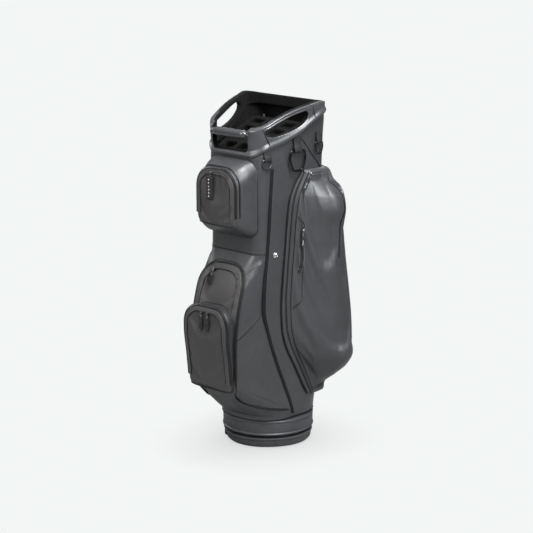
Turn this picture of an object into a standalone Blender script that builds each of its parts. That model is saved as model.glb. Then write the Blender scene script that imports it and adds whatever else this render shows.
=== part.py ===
"""Golf cart bag: moulded foot, leatherette tube with a tilted top collar and a
fourteen-way divider, two zipped front pockets (the lower one carries a third on
its door), a large zipped apparel pocket on each side, rings and a strap.

Frame: origin at the centre of the foot on the ground, +Z up, front faces -Y,
"right" is +X, the spine is at +Y.  Metres.
"""
import math

import bmesh
import bpy
import numpy as np
from mathutils import Matrix, Vector

# ------------------------------------------------------------------ shared dimensions
GAP = 0.0005                 # clearance kept between neighbouring pieces
BOOT_H = 0.028               # height of the moulded foot
COLLAR_Z0 = 0.0345           # underside of the collar on the foot
BODY_Z0 = 0.0765             # lower edge of the tube
PLAN_TOP = 0.86              # level of the BODY table that the tube's upper edge takes
# tube plan at each height: z, front half width, front Y, rear half width, rear Y,
# front corner radius, rear corner radius
BODY = [
    (0.076, 0.104, -0.1215, 0.110, 0.1180, 0.092, 0.092),
    (0.110, 0.104, -0.1240, 0.113, 0.1170, 0.085, 0.085),
    (0.170, 0.096, -0.1290, 0.118, 0.1130, 0.060, 0.062),
    (0.250, 0.091, -0.1320, 0.120, 0.1090, 0.036, 0.048),
    (0.350, 0.090, -0.1320, 0.119, 0.1070, 0.030, 0.044),
    (0.550, 0.090, -0.1320, 0.118, 0.1060, 0.030, 0.042),
    (0.740, 0.090, -0.1330, 0.124, 0.1050, 0.030, 0.040),
    (0.900, 0.091, -0.1350, 0.142, 0.0980, 0.030, 0.038),
]
BODY_REAR_Y = 4              # column of BODY
# plan of the top collar: the columns of BODY after z
CUFF = (0.0925, -0.1380, 0.1490, 0.0930, 0.030, 0.040)
WALL_T = 0.0170              # wall of the top collar
# lower and upper edge of the top collar: Y, z
CUFF_BOTTOM = [(-0.140, 0.784), (-0.115, 0.804), (-0.060, 0.822), (-0.010, 0.843),
               (0.030, 0.870), (0.060, 0.886), (0.100, 0.892)]
CUFF_TOP = [(-0.140, 0.858), (-0.118, 0.869), (-0.075, 0.889), (-0.035, 0.904),
            (0.010, 0.915), (0.050, 0.923), (0.075, 0.920), (0.100, 0.911)]
WEB_BEVEL = 0.0008           # rounded edge of webbing tabs and small fittings

# ------------------------------------------------------------------ looks
LEATHER = dict(color=(0.055, 0.057, 0.062), roughness=0.42)
FACE = dict(color=(0.060, 0.057, 0.056), roughness=0.60)
BLACK = dict(color=(0.012, 0.012, 0.013), roughness=0.70)
PLASTIC = dict(color=(0.030, 0.031, 0.034), roughness=0.38)
FLEECE = dict(color=(0.010, 0.010, 0.010), roughness=0.95)
METAL = dict(color=(0.80, 0.80, 0.82), roughness=0.18, metallic=1.0)
GUN = dict(color=(0.10, 0.10, 0.11), roughness=0.30, metallic=1.0)

# ------------------------------------------------------------------ scene setup
for old in list(bpy.data.objects):
    bpy.data.objects.remove(old, do_unlink=True)
PARTS = bpy.data.collections.new("golf_cart_bag")
TOOLS = bpy.data.collections.new("cutters")
bpy.context.scene.collection.children.link(PARTS)
bpy.context.scene.collection.children.link(TOOLS)


# ------------------------------------------------------------------ object builders
def material(name, color, roughness, metallic=0.0):
    mat = bpy.data.materials.new(name)
    mat.use_nodes = True
    shader = mat.node_tree.nodes["Principled BSDF"]
    shader.inputs["Base Color"].default_value = (*color, 1.0)
    shader.inputs["Roughness"].default_value = roughness
    shader.inputs["Metallic"].default_value = metallic
    return mat


def finish(ob, look, collection=PARTS):
    """Link an object, give it its own material and shade it; cutters have no look."""
    collection.objects.link(ob)
    if look:
        ob.data.materials.append(material(ob.name + "_mat", **look))
    if ob.type == "MESH":
        ob.data.shade_smooth()
        ob.data.set_sharp_from_angle(angle=math.radians(35))
    return ob


def mesh_object(name, verts, faces, look, collection=PARTS):
    mesh = bpy.data.meshes.new(name)
    mesh.from_pydata([tuple(v) for v in verts], [], faces)
    bm = bmesh.new()
    bm.from_mesh(mesh)
    bmesh.ops.remove_doubles(bm, verts=bm.verts, dist=1e-6)
    bmesh.ops.recalc_face_normals(bm, faces=bm.faces)
    bm.to_mesh(mesh)
    bm.free()
    return finish(bpy.data.objects.new(name, mesh), look, collection)


def solidify(ob, thickness, offset=-1.0):
    """Thicken a skin: offset -1 grows it behind its normals, +1 in front of them."""
    mod = ob.modifiers.new("thickness", "SOLIDIFY")
    mod.thickness = thickness
    mod.offset = offset
    mod.use_even_offset = True


def add_bevel(ob, width, segments):
    mod = ob.modifiers.new("bevel", "BEVEL")
    mod.width = width
    mod.segments = segments
    mod.limit_method = "ANGLE"
    mod.angle_limit = math.radians(40)


def box(name, size, loc, look, bevel=0.0, segments=2, rot=(0, 0, 0), hang=False, collection=PARTS):
    """A box about its origin; with hang, its origin is in the middle of its top."""
    mesh = bpy.data.meshes.new(name)
    bm = bmesh.new()
    bmesh.ops.create_cube(bm, size=1.0)
    bmesh.ops.scale(bm, vec=size, verts=bm.verts)
    if hang:
        bmesh.ops.translate(bm, vec=(0, 0, -size[2] / 2), verts=bm.verts)
    bm.to_mesh(mesh)
    bm.free()
    ob = finish(bpy.data.objects.new(name, mesh), look, collection)
    ob.location = loc
    ob.rotation_euler = rot
    if bevel:
        add_bevel(ob, bevel, segments)
    return ob


def cylinder(name, radius, depth, loc, look, segments, rot=(0, 0, 0), bevel=0.0):
    mesh = bpy.data.meshes.new(name)
    bm = bmesh.new()
    bmesh.ops.create_cone(bm, cap_ends=True, segments=segments, radius1=radius,
                          radius2=radius, depth=depth)
    bm.to_mesh(mesh)
    bm.free()
    ob = finish(bpy.data.objects.new(name, mesh), look)
    ob.location = loc
    ob.rotation_euler = rot
    if bevel:
        add_bevel(ob, bevel, 1)


def poly_spline(curve, points, cyclic):
    spline = curve.splines.new("POLY")
    spline.points.add(len(points) - 1)
    for target, point in zip(spline.points, points):
        target.co = (*point, 1.0)
    spline.use_cyclic_u = cyclic


def cord(name, points, radius, look, cyclic=False, resolution=1):
    """A round wire along 3D points."""
    curve = bpy.data.curves.new(name, "CURVE")
    curve.dimensions = "3D"
    curve.bevel_depth = radius
    curve.bevel_resolution = resolution
    curve.use_fill_caps = True
    curve.render_resolution_u = 0
    poly_spline(curve, points, cyclic)
    finish(bpy.data.objects.new(name, curve), look)


def plate(name, loops, thickness, look):
    """Flat plate in its own XY plane: first loop is the outline, the others are holes."""
    curve = bpy.data.curves.new(name, "CURVE")
    curve.dimensions = "2D"
    curve.fill_mode = "BOTH"
    curve.extrude = thickness / 2
    curve.render_resolution_u = 0
    for loop in loops:
        poly_spline(curve, [(x, y, 0.0) for x, y in loop], True)
    return finish(bpy.data.objects.new(name, curve), look)


def grid_faces(rows, cols, wrap=False):
    """Quads of a grid of points stored row by row; wrap joins last column to first."""
    count = cols if wrap else cols - 1
    return [(r * cols + c, r * cols + (c + 1) % cols,
             (r + 1) * cols + (c + 1) % cols, (r + 1) * cols + c)
            for r in range(rows - 1) for c in range(count)]


# ------------------------------------------------------------------ plan curves
def lookup(table, key, column=1):
    """Linear interpolation in a table sorted by its first column."""
    return float(np.interp(key, [row[0] for row in table], [row[column] for row in table]))


def resample(points, count):
    """count points spread evenly along a 2D polyline."""
    steps = [np.linalg.norm(b - a) for a, b in zip(points[:-1], points[1:])]
    along = np.concatenate([[0], np.cumsum(steps)])
    xs = [p[0] for p in points]
    ys = [p[1] for p in points]
    return [np.array([np.interp(u, along, xs), np.interp(u, along, ys)])
            for u in np.linspace(0, along[-1], count)]


def fillet(before, corner, after, radius, steps, share=0.92):
    """Arc that rounds a corner, using at most a share of either leg."""
    before, corner, after = (np.array(p, float) for p in (before, corner, after))
    leg1, leg2 = before - corner, after - corner
    length1, length2 = np.linalg.norm(leg1), np.linalg.norm(leg2)
    leg1, leg2 = leg1 / length1, leg2 / length2
    angle = math.acos(max(-1.0, min(1.0, float(leg1 @ leg2))))
    reach = min(radius / math.tan(angle / 2), share * length1, share * length2)
    radius = reach * math.tan(angle / 2)
    bisector = (leg1 + leg2) / np.linalg.norm(leg1 + leg2)
    centre = corner + bisector * radius / math.sin(angle / 2)
    start = math.atan2(*(corner + leg1 * reach - centre)[::-1])
    end = math.atan2(*(corner + leg2 * reach - centre)[::-1])
    sweep = (end - start + math.pi) % (2 * math.pi) - math.pi
    turns = [start + sweep * k / steps for k in range(steps + 1)]
    return [centre + radius * np.array([math.cos(t), math.sin(t)]) for t in turns]


FRONT_STEPS, CORNER_STEPS, SIDE_STEPS, REAR_STEPS = 2, 5, 5, 2


def tube_plan(front_half, front_y, rear_half, rear_y, front_radius, rear_radius, grow=0.0):
    """Closed plan, from the front centre round by +X, offset outwards by grow."""
    side = np.array([rear_half - front_half, rear_y - front_y])
    normal = np.array([side[1], -side[0]]) / np.linalg.norm(side)
    shift = grow / normal[0]
    slant = normal[1] / normal[0]
    front_y, rear_y = front_y - grow, rear_y + grow
    front_corner = (front_half + shift + slant * grow, front_y)
    rear_corner = (rear_half + shift - slant * grow, rear_y)
    rear_mid = (0, rear_y)
    arc1 = fillet((0, front_y), front_corner, rear_corner, front_radius + grow, CORNER_STEPS)
    arc2 = fillet(front_corner, rear_corner, rear_mid, rear_radius + grow, CORNER_STEPS)
    half = [np.array([arc1[0][0] * i / FRONT_STEPS, front_y]) for i in range(FRONT_STEPS)] + arc1
    half += [arc1[-1] + (arc2[0] - arc1[-1]) * i / SIDE_STEPS for i in range(1, SIDE_STEPS)]
    half += arc2
    half += [arc2[-1] + (np.array(rear_mid) - arc2[-1]) * i / REAR_STEPS
             for i in range(1, REAR_STEPS + 1)]
    half = np.array(half)
    return np.vstack([half, half[1:-1][::-1] * [-1, 1]])


def right_half(plan):
    return plan[: len(plan) // 2 + 1]


def plan_x(plan, y):
    """X of a plan's right side at depth y."""
    half = right_half(plan)
    return float(np.interp(y, half[:, 1], half[:, 0]))


def body_plan(level, grow=0.0):
    return tube_plan(*[lookup(BODY, level, column) for column in range(1, 7)], grow=grow)


def body_level(z, y):
    """BODY level at height z: levels stretch to the tilted collar, so lie lower in front."""
    return BODY_Z0 + (z - BODY_Z0) * (PLAN_TOP - BODY_Z0) / (lookup(CUFF_BOTTOM, y) - BODY_Z0)


def on_side(z, y, lift=0.0):
    """Point on the tube's right side at height z and depth y."""
    return (plan_x(body_plan(body_level(z, y), lift), y), y, z)


# ------------------------------------------------------------------ foot
BOOT_R = 0.1225
BOOT_RINGS = [(0.90, 0.0), (0.97, 0.008), (0.985, BOOT_H)]   # share of radius, z
BOOT_SIDES = 12
BOOT_BULGE = 1.035           # two corners in every three stand out by this factor
BOOT_TURN = -97              # degrees, direction of the first corner
COLLAR_PROFILE = [           # radius, z
    (0.0, COLLAR_Z0 + 0.006), (0.1140, COLLAR_Z0 + 0.006), (0.1165, 0.0760), (0.1215, 0.0760),
    (0.1225, COLLAR_Z0 + 0.003), (0.1195, COLLAR_Z0), (0.0, COLLAR_Z0)]
COLLAR_STEPS = 40
GASKET_R = 0.1160
BOARD_R, BOARD_T, BOARD_Z = 0.0960, 0.0040, 0.0800


def base_boot():
    verts = []
    for scale, z in BOOT_RINGS:
        for k in range(BOOT_SIDES):
            angle = math.radians(360 / BOOT_SIDES * k + BOOT_TURN)
            radius = BOOT_R * scale * (1.0 if k % 3 == 2 else BOOT_BULGE)
            verts.append((radius * math.cos(angle), radius * math.sin(angle), z))
    bottom = tuple(range(BOOT_SIDES - 1, -1, -1))
    top = tuple(range(2 * BOOT_SIDES, 3 * BOOT_SIDES))
    mesh_object("base_boot", verts, grid_faces(3, BOOT_SIDES, True) + [bottom, top], PLASTIC)


def base_collar():
    """Shallow dish turned round the Z axis."""
    mesh = bpy.data.meshes.new("base_collar")
    edges = [(i, i + 1) for i in range(len(COLLAR_PROFILE) - 1)]
    mesh.from_pydata([(radius, 0, z) for radius, z in COLLAR_PROFILE], edges, [])
    ob = finish(bpy.data.objects.new("base_collar", mesh), PLASTIC)
    mod = ob.modifiers.new("turn", "SCREW")
    mod.axis = "Z"
    mod.angle = 2 * math.pi
    mod.steps = mod.render_steps = COLLAR_STEPS
    mod.use_merge_vertices = True
    mod.merge_threshold = 0.0001
    mod.use_smooth_shade = True


def base():
    base_boot()
    cylinder("base_gasket", GASKET_R, COLLAR_Z0 - BOOT_H - 2 * GAP,
             (0, 0, (COLLAR_Z0 + BOOT_H) / 2), BLACK, segments=40)
    base_collar()
    cylinder("base_board", BOARD_R, BOARD_T, (0, 0, BOARD_Z), BLACK, segments=36)


# ------------------------------------------------------------------ tube
SKIN_T = 0.0030              # tube and apparel panels
RING_SHARES = [0.0, 0.05, 0.12, 0.22, 0.36, 0.60, 0.84, 1.0]   # rings, as shares of the height


def body_shell():
    verts = []
    for share in RING_SHARES:
        plan = body_plan(BODY_Z0 + share * (PLAN_TOP - BODY_Z0))
        verts += [(x, y, BODY_Z0 + share * (lookup(CUFF_BOTTOM, y) - GAP - BODY_Z0))
                  for x, y in plan]
    body = mesh_object("body_shell", verts, grid_faces(len(RING_SHARES), len(plan), True), LEATHER)
    solidify(body, SKIN_T)


# ------------------------------------------------------------------ top collar
# wall section: share of the wall inwards, share of the height upwards
CUFF_SECTION = [(0.0, 0.15), (0.0, 0.85), (0.25, 1.0), (0.75, 1.0),
                (1.0, 0.85), (1.0, 0.15), (0.75, 0.0), (0.25, 0.0)]
FRONT_SILL = 0.8000          # bottom of the cut in the collar's front
FRONT_CUT = (0.126, 0.080, 0.120)
FRONT_CUT_X, FRONT_CUT_Y = -0.008, -0.130
SIDE_WINDOW = [              # Y, z
    (-0.108, 0.8440), (-0.088, 0.8390), (-0.058, 0.8450), (-0.025, 0.8545),
    (0.000, 0.8670), (0.012, 0.8790), (0.016, 0.8900), (0.010, 0.9005),
    (-0.016, 0.8970), (-0.050, 0.8840), (-0.085, 0.8700), (-0.111, 0.8580)]
WINDOW_CUT_X = (0.060, 0.190)
HANDLE_R = 0.0110
HANDLE = [(-0.0700, -0.1290, 0.8450), (-0.0610, -0.1295, 0.8450), (-0.0400, -0.1300, 0.8450),
          (0.0, -0.1305, 0.8455), (0.0350, -0.1300, 0.8455), (0.0480, -0.1295, 0.8450),
          (0.0540, -0.1290, 0.8450)]


def window_cutter(name, sign):
    """A prism through one side of the collar."""
    count = len(SIDE_WINDOW)
    verts = [(sign * x, y, z) for x in WINDOW_CUT_X for y, z in SIDE_WINDOW]
    ends = [tuple(range(count)), tuple(range(count, 2 * count))]
    return mesh_object(name, verts, grid_faces(2, count, True) + ends, None, TOOLS)


def top_cuff():
    verts = []
    for inward, up in CUFF_SECTION:
        plan = tube_plan(*CUFF, grow=-inward * WALL_T)
        # each point takes its height from the collar's edges at its own Y
        for x, y in plan:
            bottom, top = lookup(CUFF_BOTTOM, y), lookup(CUFF_TOP, y)
            verts.append((x, y, bottom + up * (top - bottom)))
    rings, count = len(CUFF_SECTION), len(plan)
    last = (rings - 1) * count
    closing = [(last + i, last + (i + 1) % count, (i + 1) % count, i) for i in range(count)]
    cuff = mesh_object("top_cuff", verts, grid_faces(rings, count, True) + closing, PLASTIC)
    # the front is cut away down to the sill, and the handle bar bridges the opening
    cut_front = box("cut_front", FRONT_CUT,
                    (FRONT_CUT_X, FRONT_CUT_Y, FRONT_SILL + FRONT_CUT[2] / 2), None,
                    collection=TOOLS)
    for cutter in (cut_front, window_cutter("cut_right", 1), window_cutter("cut_left", -1)):
        cutter.hide_render = True
        cutter.display_type = "WIRE"
        mod = cuff.modifiers.new(cutter.name, "BOOLEAN")
        mod.operation = "DIFFERENCE"
        mod.solver = "EXACT"
        mod.object = cutter
    cord("front_handle", HANDLE, HANDLE_R, PLASTIC, resolution=2)


# ------------------------------------------------------------------ divider
DIVIDER_T = 0.016
DIVIDER_SLOPE = 0.30         # rise of the divider top per metre towards the rear
DIVIDER_Z = 0.832            # height of its upper face above the origin
STRETCH = math.sqrt(1 + DIVIDER_SLOPE ** 2)   # length along the slope per metre of plan
DIVIDER_PLAN = tube_plan(*CUFF, grow=-(WALL_T + 0.0010))
WELL_ROWS = [(-0.112, -0.069, 3), (-0.062, -0.020, 3),   # front Y, rear Y, wells in the row
             (-0.013, 0.024, 4), (0.031, 0.066, 4)]
WELL_MARGIN = 0.006          # between a row's ends and the divider's edge
WELL_R = 0.008
WELL_INSET, SLEEVE_INSET = 0.0035, 0.0008   # half the wall between two wells of a row
SLEEVE_FOOT = 0.2600
SLEEVE_TOP = DIVIDER_Z + DIVIDER_SLOPE * -0.122 - DIVIDER_T * STRETCH - 0.004
SLEEVE_PLAN = tube_plan(*CUFF, grow=-(WALL_T + 0.0045))
SLEEVE_SCALE_X, SLEEVE_SCALE_Y = 0.88, 0.96
SLEEVE_MID_Y = -0.022        # the sleeves narrow in Y about this line
STAY_R, STAY_Z0 = 0.0035, 0.2500
STAYS = [                    # name, X, Y, top
    ("stay_front_left", -0.0560, -0.1225, 0.7780), ("stay_front_right", 0.0560, -0.1225, 0.7780),
    ("stay_rear_left", -0.0940, 0.0850, 0.8600), ("stay_rear_right", 0.0940, 0.0850, 0.8600)]


def well(y0, y1, index, count, inset):
    """Rounded plan of one well of a row, drawn in by inset."""
    def edge(y, i):
        half = plan_x(DIVIDER_PLAN, y) - WELL_MARGIN
        return -half + 2 * half * i / count
    cell = np.array([(edge(y0, index), y0), (edge(y0, index + 1), y0),
                     (edge(y1, index + 1), y1), (edge(y1, index), y1)])
    cell = cell + np.sign(np.mean(cell, axis=0) - cell) * inset
    points = []
    for i in range(4):
        points += fillet(cell[i - 1], cell[i], cell[(i + 1) % 4], WELL_R, 2)
    return points


def wells(inset):
    return [well(y0, y1, k, count, inset) for y0, y1, count in WELL_ROWS for k in range(count)]


def divider():
    loops = [[(x, y * STRETCH) for x, y in loop] for loop in [DIVIDER_PLAN] + wells(WELL_INSET)]
    grid = plate("divider_grid", loops, DIVIDER_T, FLEECE)
    grid.rotation_euler = (math.atan(DIVIDER_SLOPE), 0, 0)
    grid.location = (0, 0, DIVIDER_Z - DIVIDER_T / 2 * STRETCH)
    # long sleeves below the divider: thin walls round the same fourteen wells
    loops = [[(x * SLEEVE_SCALE_X, SLEEVE_MID_Y + (y - SLEEVE_MID_Y) * SLEEVE_SCALE_Y)
              for x, y in loop] for loop in [SLEEVE_PLAN] + wells(SLEEVE_INSET)]
    sleeves = plate("divider_sleeves", loops, SLEEVE_TOP - SLEEVE_FOOT, BLACK)
    sleeves.location = (0, 0, (SLEEVE_TOP + SLEEVE_FOOT) / 2)
    for name, x, y, top in STAYS:
        cylinder(name, STAY_R, top - STAY_Z0, (x, y, (top + STAY_Z0) / 2), PLASTIC, segments=12)


# ------------------------------------------------------------------ front pockets
# An arch is: half width, bottom z, top z, upper corner radius, lower corner radius.
DOOR_T = 0.0040
DOOR_COLS = 7
UPPER_BACK_Y, UPPER_RIM_Y = -0.1354, -0.1925
LOWER_BACK_Y = -0.1342
UPPER_DOOR = (0.0720, 0.6150, 0.7600, 0.044, 0.020)
LOWER_DOOR = (0.0820, 0.1780, 0.5050, 0.060, 0.022)
OUTER_DOOR = (0.0780, 0.1840, 0.4040, 0.046, 0.018)
# rim of the lower and outer pockets: z, Y
LOWER_RIM = [(0.178, -0.2070), (0.300, -0.2085), (0.370, -0.2010), (0.430, -0.1870),
             (0.475, -0.1700), (0.505, -0.1520)]
OUTER_RIM = [(0.184, -0.2180), (0.260, -0.2260), (0.340, -0.2350), (0.380, -0.2350),
             (0.404, -0.2300)]
UPPER_RINGS = [              # arch, Y
    ((0.0780, 0.5800, 0.7780, 0.040, 0.026), UPPER_BACK_Y),
    ((0.0775, 0.5900, 0.7760, 0.042, 0.024), -0.1550),
    ((0.0755, 0.6030, 0.7690, 0.044, 0.022), -0.1760),
    (UPPER_DOOR, UPPER_RIM_Y)]
LOWER_RINGS = [              # arch, share of the way from back to rim
    ((0.0870, 0.1000, 0.5180, 0.050, 0.030), 0.0),
    ((0.0865, 0.1180, 0.5160, 0.052, 0.028), 0.33),
    ((0.0850, 0.1440, 0.5120, 0.056, 0.026), 0.70),
    (LOWER_DOOR, 1.0)]
OUTER_BACK = (0.0785, 0.1815, 0.4200, 0.052, 0.018)
OUTER_MIDDLE = (0.0788, 0.1825, 0.4140, 0.050, 0.018)
OUTER_BACK_GAP = 0.0012
ZIP_R = 0.0016               # zip track
ZIP_LIFT = 0.0024            # track in front of the pocket's rim
ZIP_PITCH = 0.03             # longest runs of a track are divided about this finely


def upper_rim_y(z):
    return UPPER_RIM_Y


def lower_rim_y(z):
    return lookup(LOWER_RIM, z)


def outer_rim_y(z):
    return lookup(OUTER_RIM, z)


def lower_face_y(z):
    """Just in front of the lower door."""
    return lower_rim_y(z) - DOOR_T - 4 * GAP


def arch_points(arch, grow=0.0, steps=5):
    """Closed outline in X, Z: lower left corner first, anticlockwise seen from the front."""
    half, bottom, top, upper_r, lower_r = arch
    half, bottom, top = half + grow, bottom - grow, top + grow
    corners = [(-half, bottom), (half, bottom), (half, top), (-half, top)]
    points = []
    for i, radius in enumerate((lower_r, lower_r, upper_r, upper_r)):
        points += fillet(corners[i - 1], corners[i], corners[(i + 1) % 4], radius + grow, steps)
    return np.array(points)


def arch_half_width(z, arch):
    half, bottom, top, upper_r, lower_r = arch
    if z > top - upper_r:
        return half - upper_r + math.sqrt(max(upper_r ** 2 - (z - top + upper_r) ** 2, 0.0))
    if z < bottom + lower_r:
        return half - lower_r + math.sqrt(max(lower_r ** 2 - (bottom + lower_r - z) ** 2, 0.0))
    return half


def arch_ring(arch, y_at, sides=5):
    """An arch in space; its uprights are divided so that they follow a curved front."""
    outline = arch_points(arch)
    quarter = len(outline) // 4
    points = []
    for i in range(4):
        run = list(outline[i * quarter:(i + 1) * quarter])
        after = outline[((i + 1) * quarter) % len(outline)]
        parts = sides if i in (1, 3) else 1
        points += run + [run[-1] + (after - run[-1]) * j / parts for j in range(1, parts)]
    return [(x, y_at(z), z) for x, z in points]


def door_panel(name, arch, rim_y):
    """A curved door: rows over the height, each as wide as the arch there."""
    _, bottom, top, upper_r, lower_r = arch
    spring = top - upper_r
    heights = [bottom, bottom + lower_r * 0.3, bottom + lower_r]
    heights += list(np.linspace(bottom + lower_r, spring, 6)[1:-1])
    heights += [spring + upper_r * math.sin(math.radians(a)) for a in (0, 25, 45, 62, 77, 90)]
    verts = []
    for z in heights:
        half = arch_half_width(z, arch)
        verts += [(half * (2 * i / (DOOR_COLS - 1) - 1), rim_y(z) - GAP, z)
                  for i in range(DOOR_COLS)]
    door = mesh_object(name, verts, grid_faces(len(heights), DOOR_COLS), FACE)
    # the surface faces -Y: thickness is added outwards
    mesh = door.data
    if mesh.polygons[len(mesh.polygons) // 2].normal.y > 0:
        mesh.flip_normals()
    solidify(door, DOOR_T, 1.0)


def pocket_shell(name, rings, thickness, closed_back):
    """An open-fronted box lofted through arch rings, closed at its flat back if asked."""
    count = len(rings[0])
    faces = grid_faces(len(rings), count, True)
    if closed_back:
        faces.append(tuple(range(count)))
    shell = mesh_object(name, [p for ring in rings for p in ring], faces, LEATHER)
    # the walls look away from the pocket's middle
    mesh = shell.data
    if sum(p.normal.x * p.center.x * p.area for p in mesh.polygons) < 0:
        mesh.flip_normals()
    solidify(shell, thickness)


def zip_track(name, arch, rim_y, grow):
    """Cord up the right side of a door, over its top and down the left side."""
    half, bottom, _, _, lower_r = arch
    outline = arch_points(arch, grow, steps=6)
    corners = [(half + grow, bottom + lower_r)]
    corners += [tuple(p) for p in outline[len(outline) // 2:]]
    corners.append((-half - grow, bottom + lower_r))
    path = []
    for (x0, z0), (x1, z1) in zip(corners[:-1], corners[1:]):
        parts = max(1, int(np.hypot(x1 - x0, z1 - z0) / ZIP_PITCH))
        path += [(x0 + (x1 - x0) * i / parts, z0 + (z1 - z0) * i / parts) for i in range(parts)]
    path.append(corners[-1])
    cord(name, [(x, rim_y(z) - ZIP_LIFT, z) for x, z in path], ZIP_R, BLACK)


def front_pocket(tag, door, rim_y, rings, zip_grow, thickness=0.0025, closed_back=True):
    pocket_shell(tag + "_pocket_shell", rings, thickness, closed_back)
    door_panel(tag + "_door_panel", door, rim_y)
    zip_track(tag + "_zip_track", door, rim_y, zip_grow)


def slider(name, loc=(0, 0, 0), tilt=0.0):
    return box(name, (0.0090, 0.0040, 0.0130), loc, GUN, bevel=0.0010, rot=(tilt, 0, 0))


def pull(name, width, length, look, loc=(0, 0, 0), tilt=0.0, thick=0.0022):
    """A tab that hangs from its own origin, which is on its hinge line."""
    return box(name, (width, thick, length), loc, look, bevel=min(WEB_BEVEL, thick / 3),
               segments=1, rot=(tilt, 0, 0), hang=True)


def front_zip(tag, x, rim, slider_lift, slider_z, pull_lift, pull_z, width, length,
              look=BLACK, slider_tilt=0.0, pull_tilt=0.0, thick=0.0022, side=""):
    """Slider and pull; the lifts are measured forwards from the door's face."""
    face = rim - GAP - DOOR_T
    slider(tag + "_zip_slider" + side, (x, face - slider_lift, slider_z), slider_tilt)
    pull(tag + "_zip_pull" + side, width, length, look, (x, face - pull_lift, pull_z),
         pull_tilt, thick)


def front_pockets():
    front_pocket("upper", UPPER_DOOR, upper_rim_y,
                 [arch_ring(arch, lambda z, y=y: y) for arch, y in UPPER_RINGS], zip_grow=0.0028)
    front_pocket("lower", LOWER_DOOR, lower_rim_y,
                 [arch_ring(arch, lambda z, f=share:
                            LOWER_BACK_Y + f * (lower_rim_y(z) - LOWER_BACK_Y))
                  for arch, share in LOWER_RINGS], zip_grow=0.0030)
    front_pocket("outer", OUTER_DOOR, outer_rim_y,
                 [arch_ring(OUTER_BACK, lambda z: lower_face_y(z) - OUTER_BACK_GAP),
                  arch_ring(OUTER_MIDDLE, lambda z: 0.5 * (lower_face_y(z) + outer_rim_y(z))),
                  arch_ring(OUTER_DOOR, outer_rim_y)],
                 zip_grow=0.0028, thickness=0.0020, closed_back=False)
    front_zip("upper", -0.014, UPPER_RIM_Y, slider_lift=0.0024, slider_z=0.7480,
              pull_lift=0.0062, pull_z=0.7440, width=0.0200, length=0.0640, thick=0.0026)
    front_zip("lower", -0.036, lower_rim_y(0.486), slider_lift=0.0042, slider_z=0.4880,
              pull_lift=0.0135, pull_z=0.4830, width=0.0110, length=0.0360, look=GUN,
              slider_tilt=-0.50, pull_tilt=-0.26)
    for side, x in (("_left", -0.0105), ("_right", 0.0115)):
        front_zip("outer", x, outer_rim_y(0.385), slider_lift=0.0030, slider_z=0.3860,
                  pull_lift=0.0066, pull_z=0.3820, width=0.0080, length=0.0420, side=side)


# ------------------------------------------------------------------ apparel pockets
# z, Y of the zipped front edge, X and Y of the outer rear corner
APPAREL = [
    (0.136, 0.049, 0.1130, 0.1275),
    (0.150, 0.041, 0.1260, 0.1275),
    (0.165, 0.034, 0.1600, 0.1310),
    (0.190, 0.022, 0.2720, 0.1350),
    (0.215, 0.010, 0.3000, 0.1390),
    (0.245, -0.006, 0.2960, 0.1410),
    (0.280, -0.022, 0.2780, 0.1410),
    (0.330, -0.034, 0.2600, 0.1400),
    (0.400, -0.037, 0.2450, 0.1390),
    (0.480, -0.031, 0.2340, 0.1380),
    (0.545, -0.025, 0.2260, 0.1370),
    (0.595, -0.021, 0.2250, 0.1360),
    (0.640, -0.016, 0.2500, 0.1340),
    (0.675, -0.009, 0.2380, 0.1280),
    (0.700, 0.001, 0.2060, 0.1220),
    (0.722, 0.012, 0.1530, 0.1185),
    (0.740, 0.021, 0.1320, 0.1185),
]
APPAREL_LIFT = 0.0108        # panel above the tube at its zipped edge
APPAREL_END_X = 0.0860       # rear edge of the pocket, beside the spine
APPAREL_END_Y = 0.105        # least Y of that edge, before the lift
OUTER_CORNER_R = 0.038       # outer rear corner in plan
BOW = 0.070                  # bulge of the panel's side as a share of its length
BOW_POWER = 0.8              # below 1 the bulge is fuller than a sine
SEAM_X = 0.1500              # upright rear seam between panel and rear wall
SEAM_GAP = 0.0045
SIDE_PARTS, ARC_PARTS, REAR_PARTS = 6, 6, 4
PANEL_COLS, REAR_COLS, BACK_COLS = 12, 4, 8
SHELL_T = 0.0022
BACK_LIFT = 0.0046           # pocket's back above the tube
# heights of the side zip track
TRACK_Z = (0.128, 0.150, 0.180, 0.215, 0.250, 0.290, 0.340, 0.400,
           0.480, 0.560, 0.640, 0.675, 0.700, 0.722, 0.742)
TRACK_SETBACK = 0.0075       # track in front of the panel's edge
PIPING = [(0.120, 0.000), (0.165, -0.024), (0.248, -0.062), (0.314, -0.096),   # z, Y
          (0.389, -0.111), (0.523, -0.106), (0.600, -0.100), (0.690, -0.096), (0.752, -0.091)]
VALUABLES_SHARE = 0.21       # place of the small right zip, back from the panel's front edge


def apparel_station(z):
    return (z,) + tuple(lookup(APPAREL, z, column) for column in (1, 2, 3))


def apparel_plan(station):
    """Right plan curve in three runs: side from the zipped edge, outer corner, rear."""
    z, edge_y, corner_x, corner_y = station
    edge = np.array([on_side(z, edge_y)[0] + APPAREL_LIFT, edge_y])
    end = np.array([APPAREL_END_X,
                    max(lookup(BODY, z, BODY_REAR_Y), APPAREL_END_Y) + APPAREL_LIFT])
    arc = fillet(edge, (corner_x, corner_y), end, OUTER_CORNER_R, ARC_PARTS, share=0.72)
    chord = arc[0] - edge
    length = np.linalg.norm(chord)
    normal = np.array([chord[1], -chord[0]]) / length
    side = [edge + chord * i / SIDE_PARTS
            + normal * BOW * length * math.sin(math.pi * i / SIDE_PARTS) ** BOW_POWER
            for i in range(SIDE_PARTS)]
    rear = [arc[-1] + (end - arc[-1]) * i / REAR_PARTS for i in range(1, REAR_PARTS + 1)]
    return side, arc, rear


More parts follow.
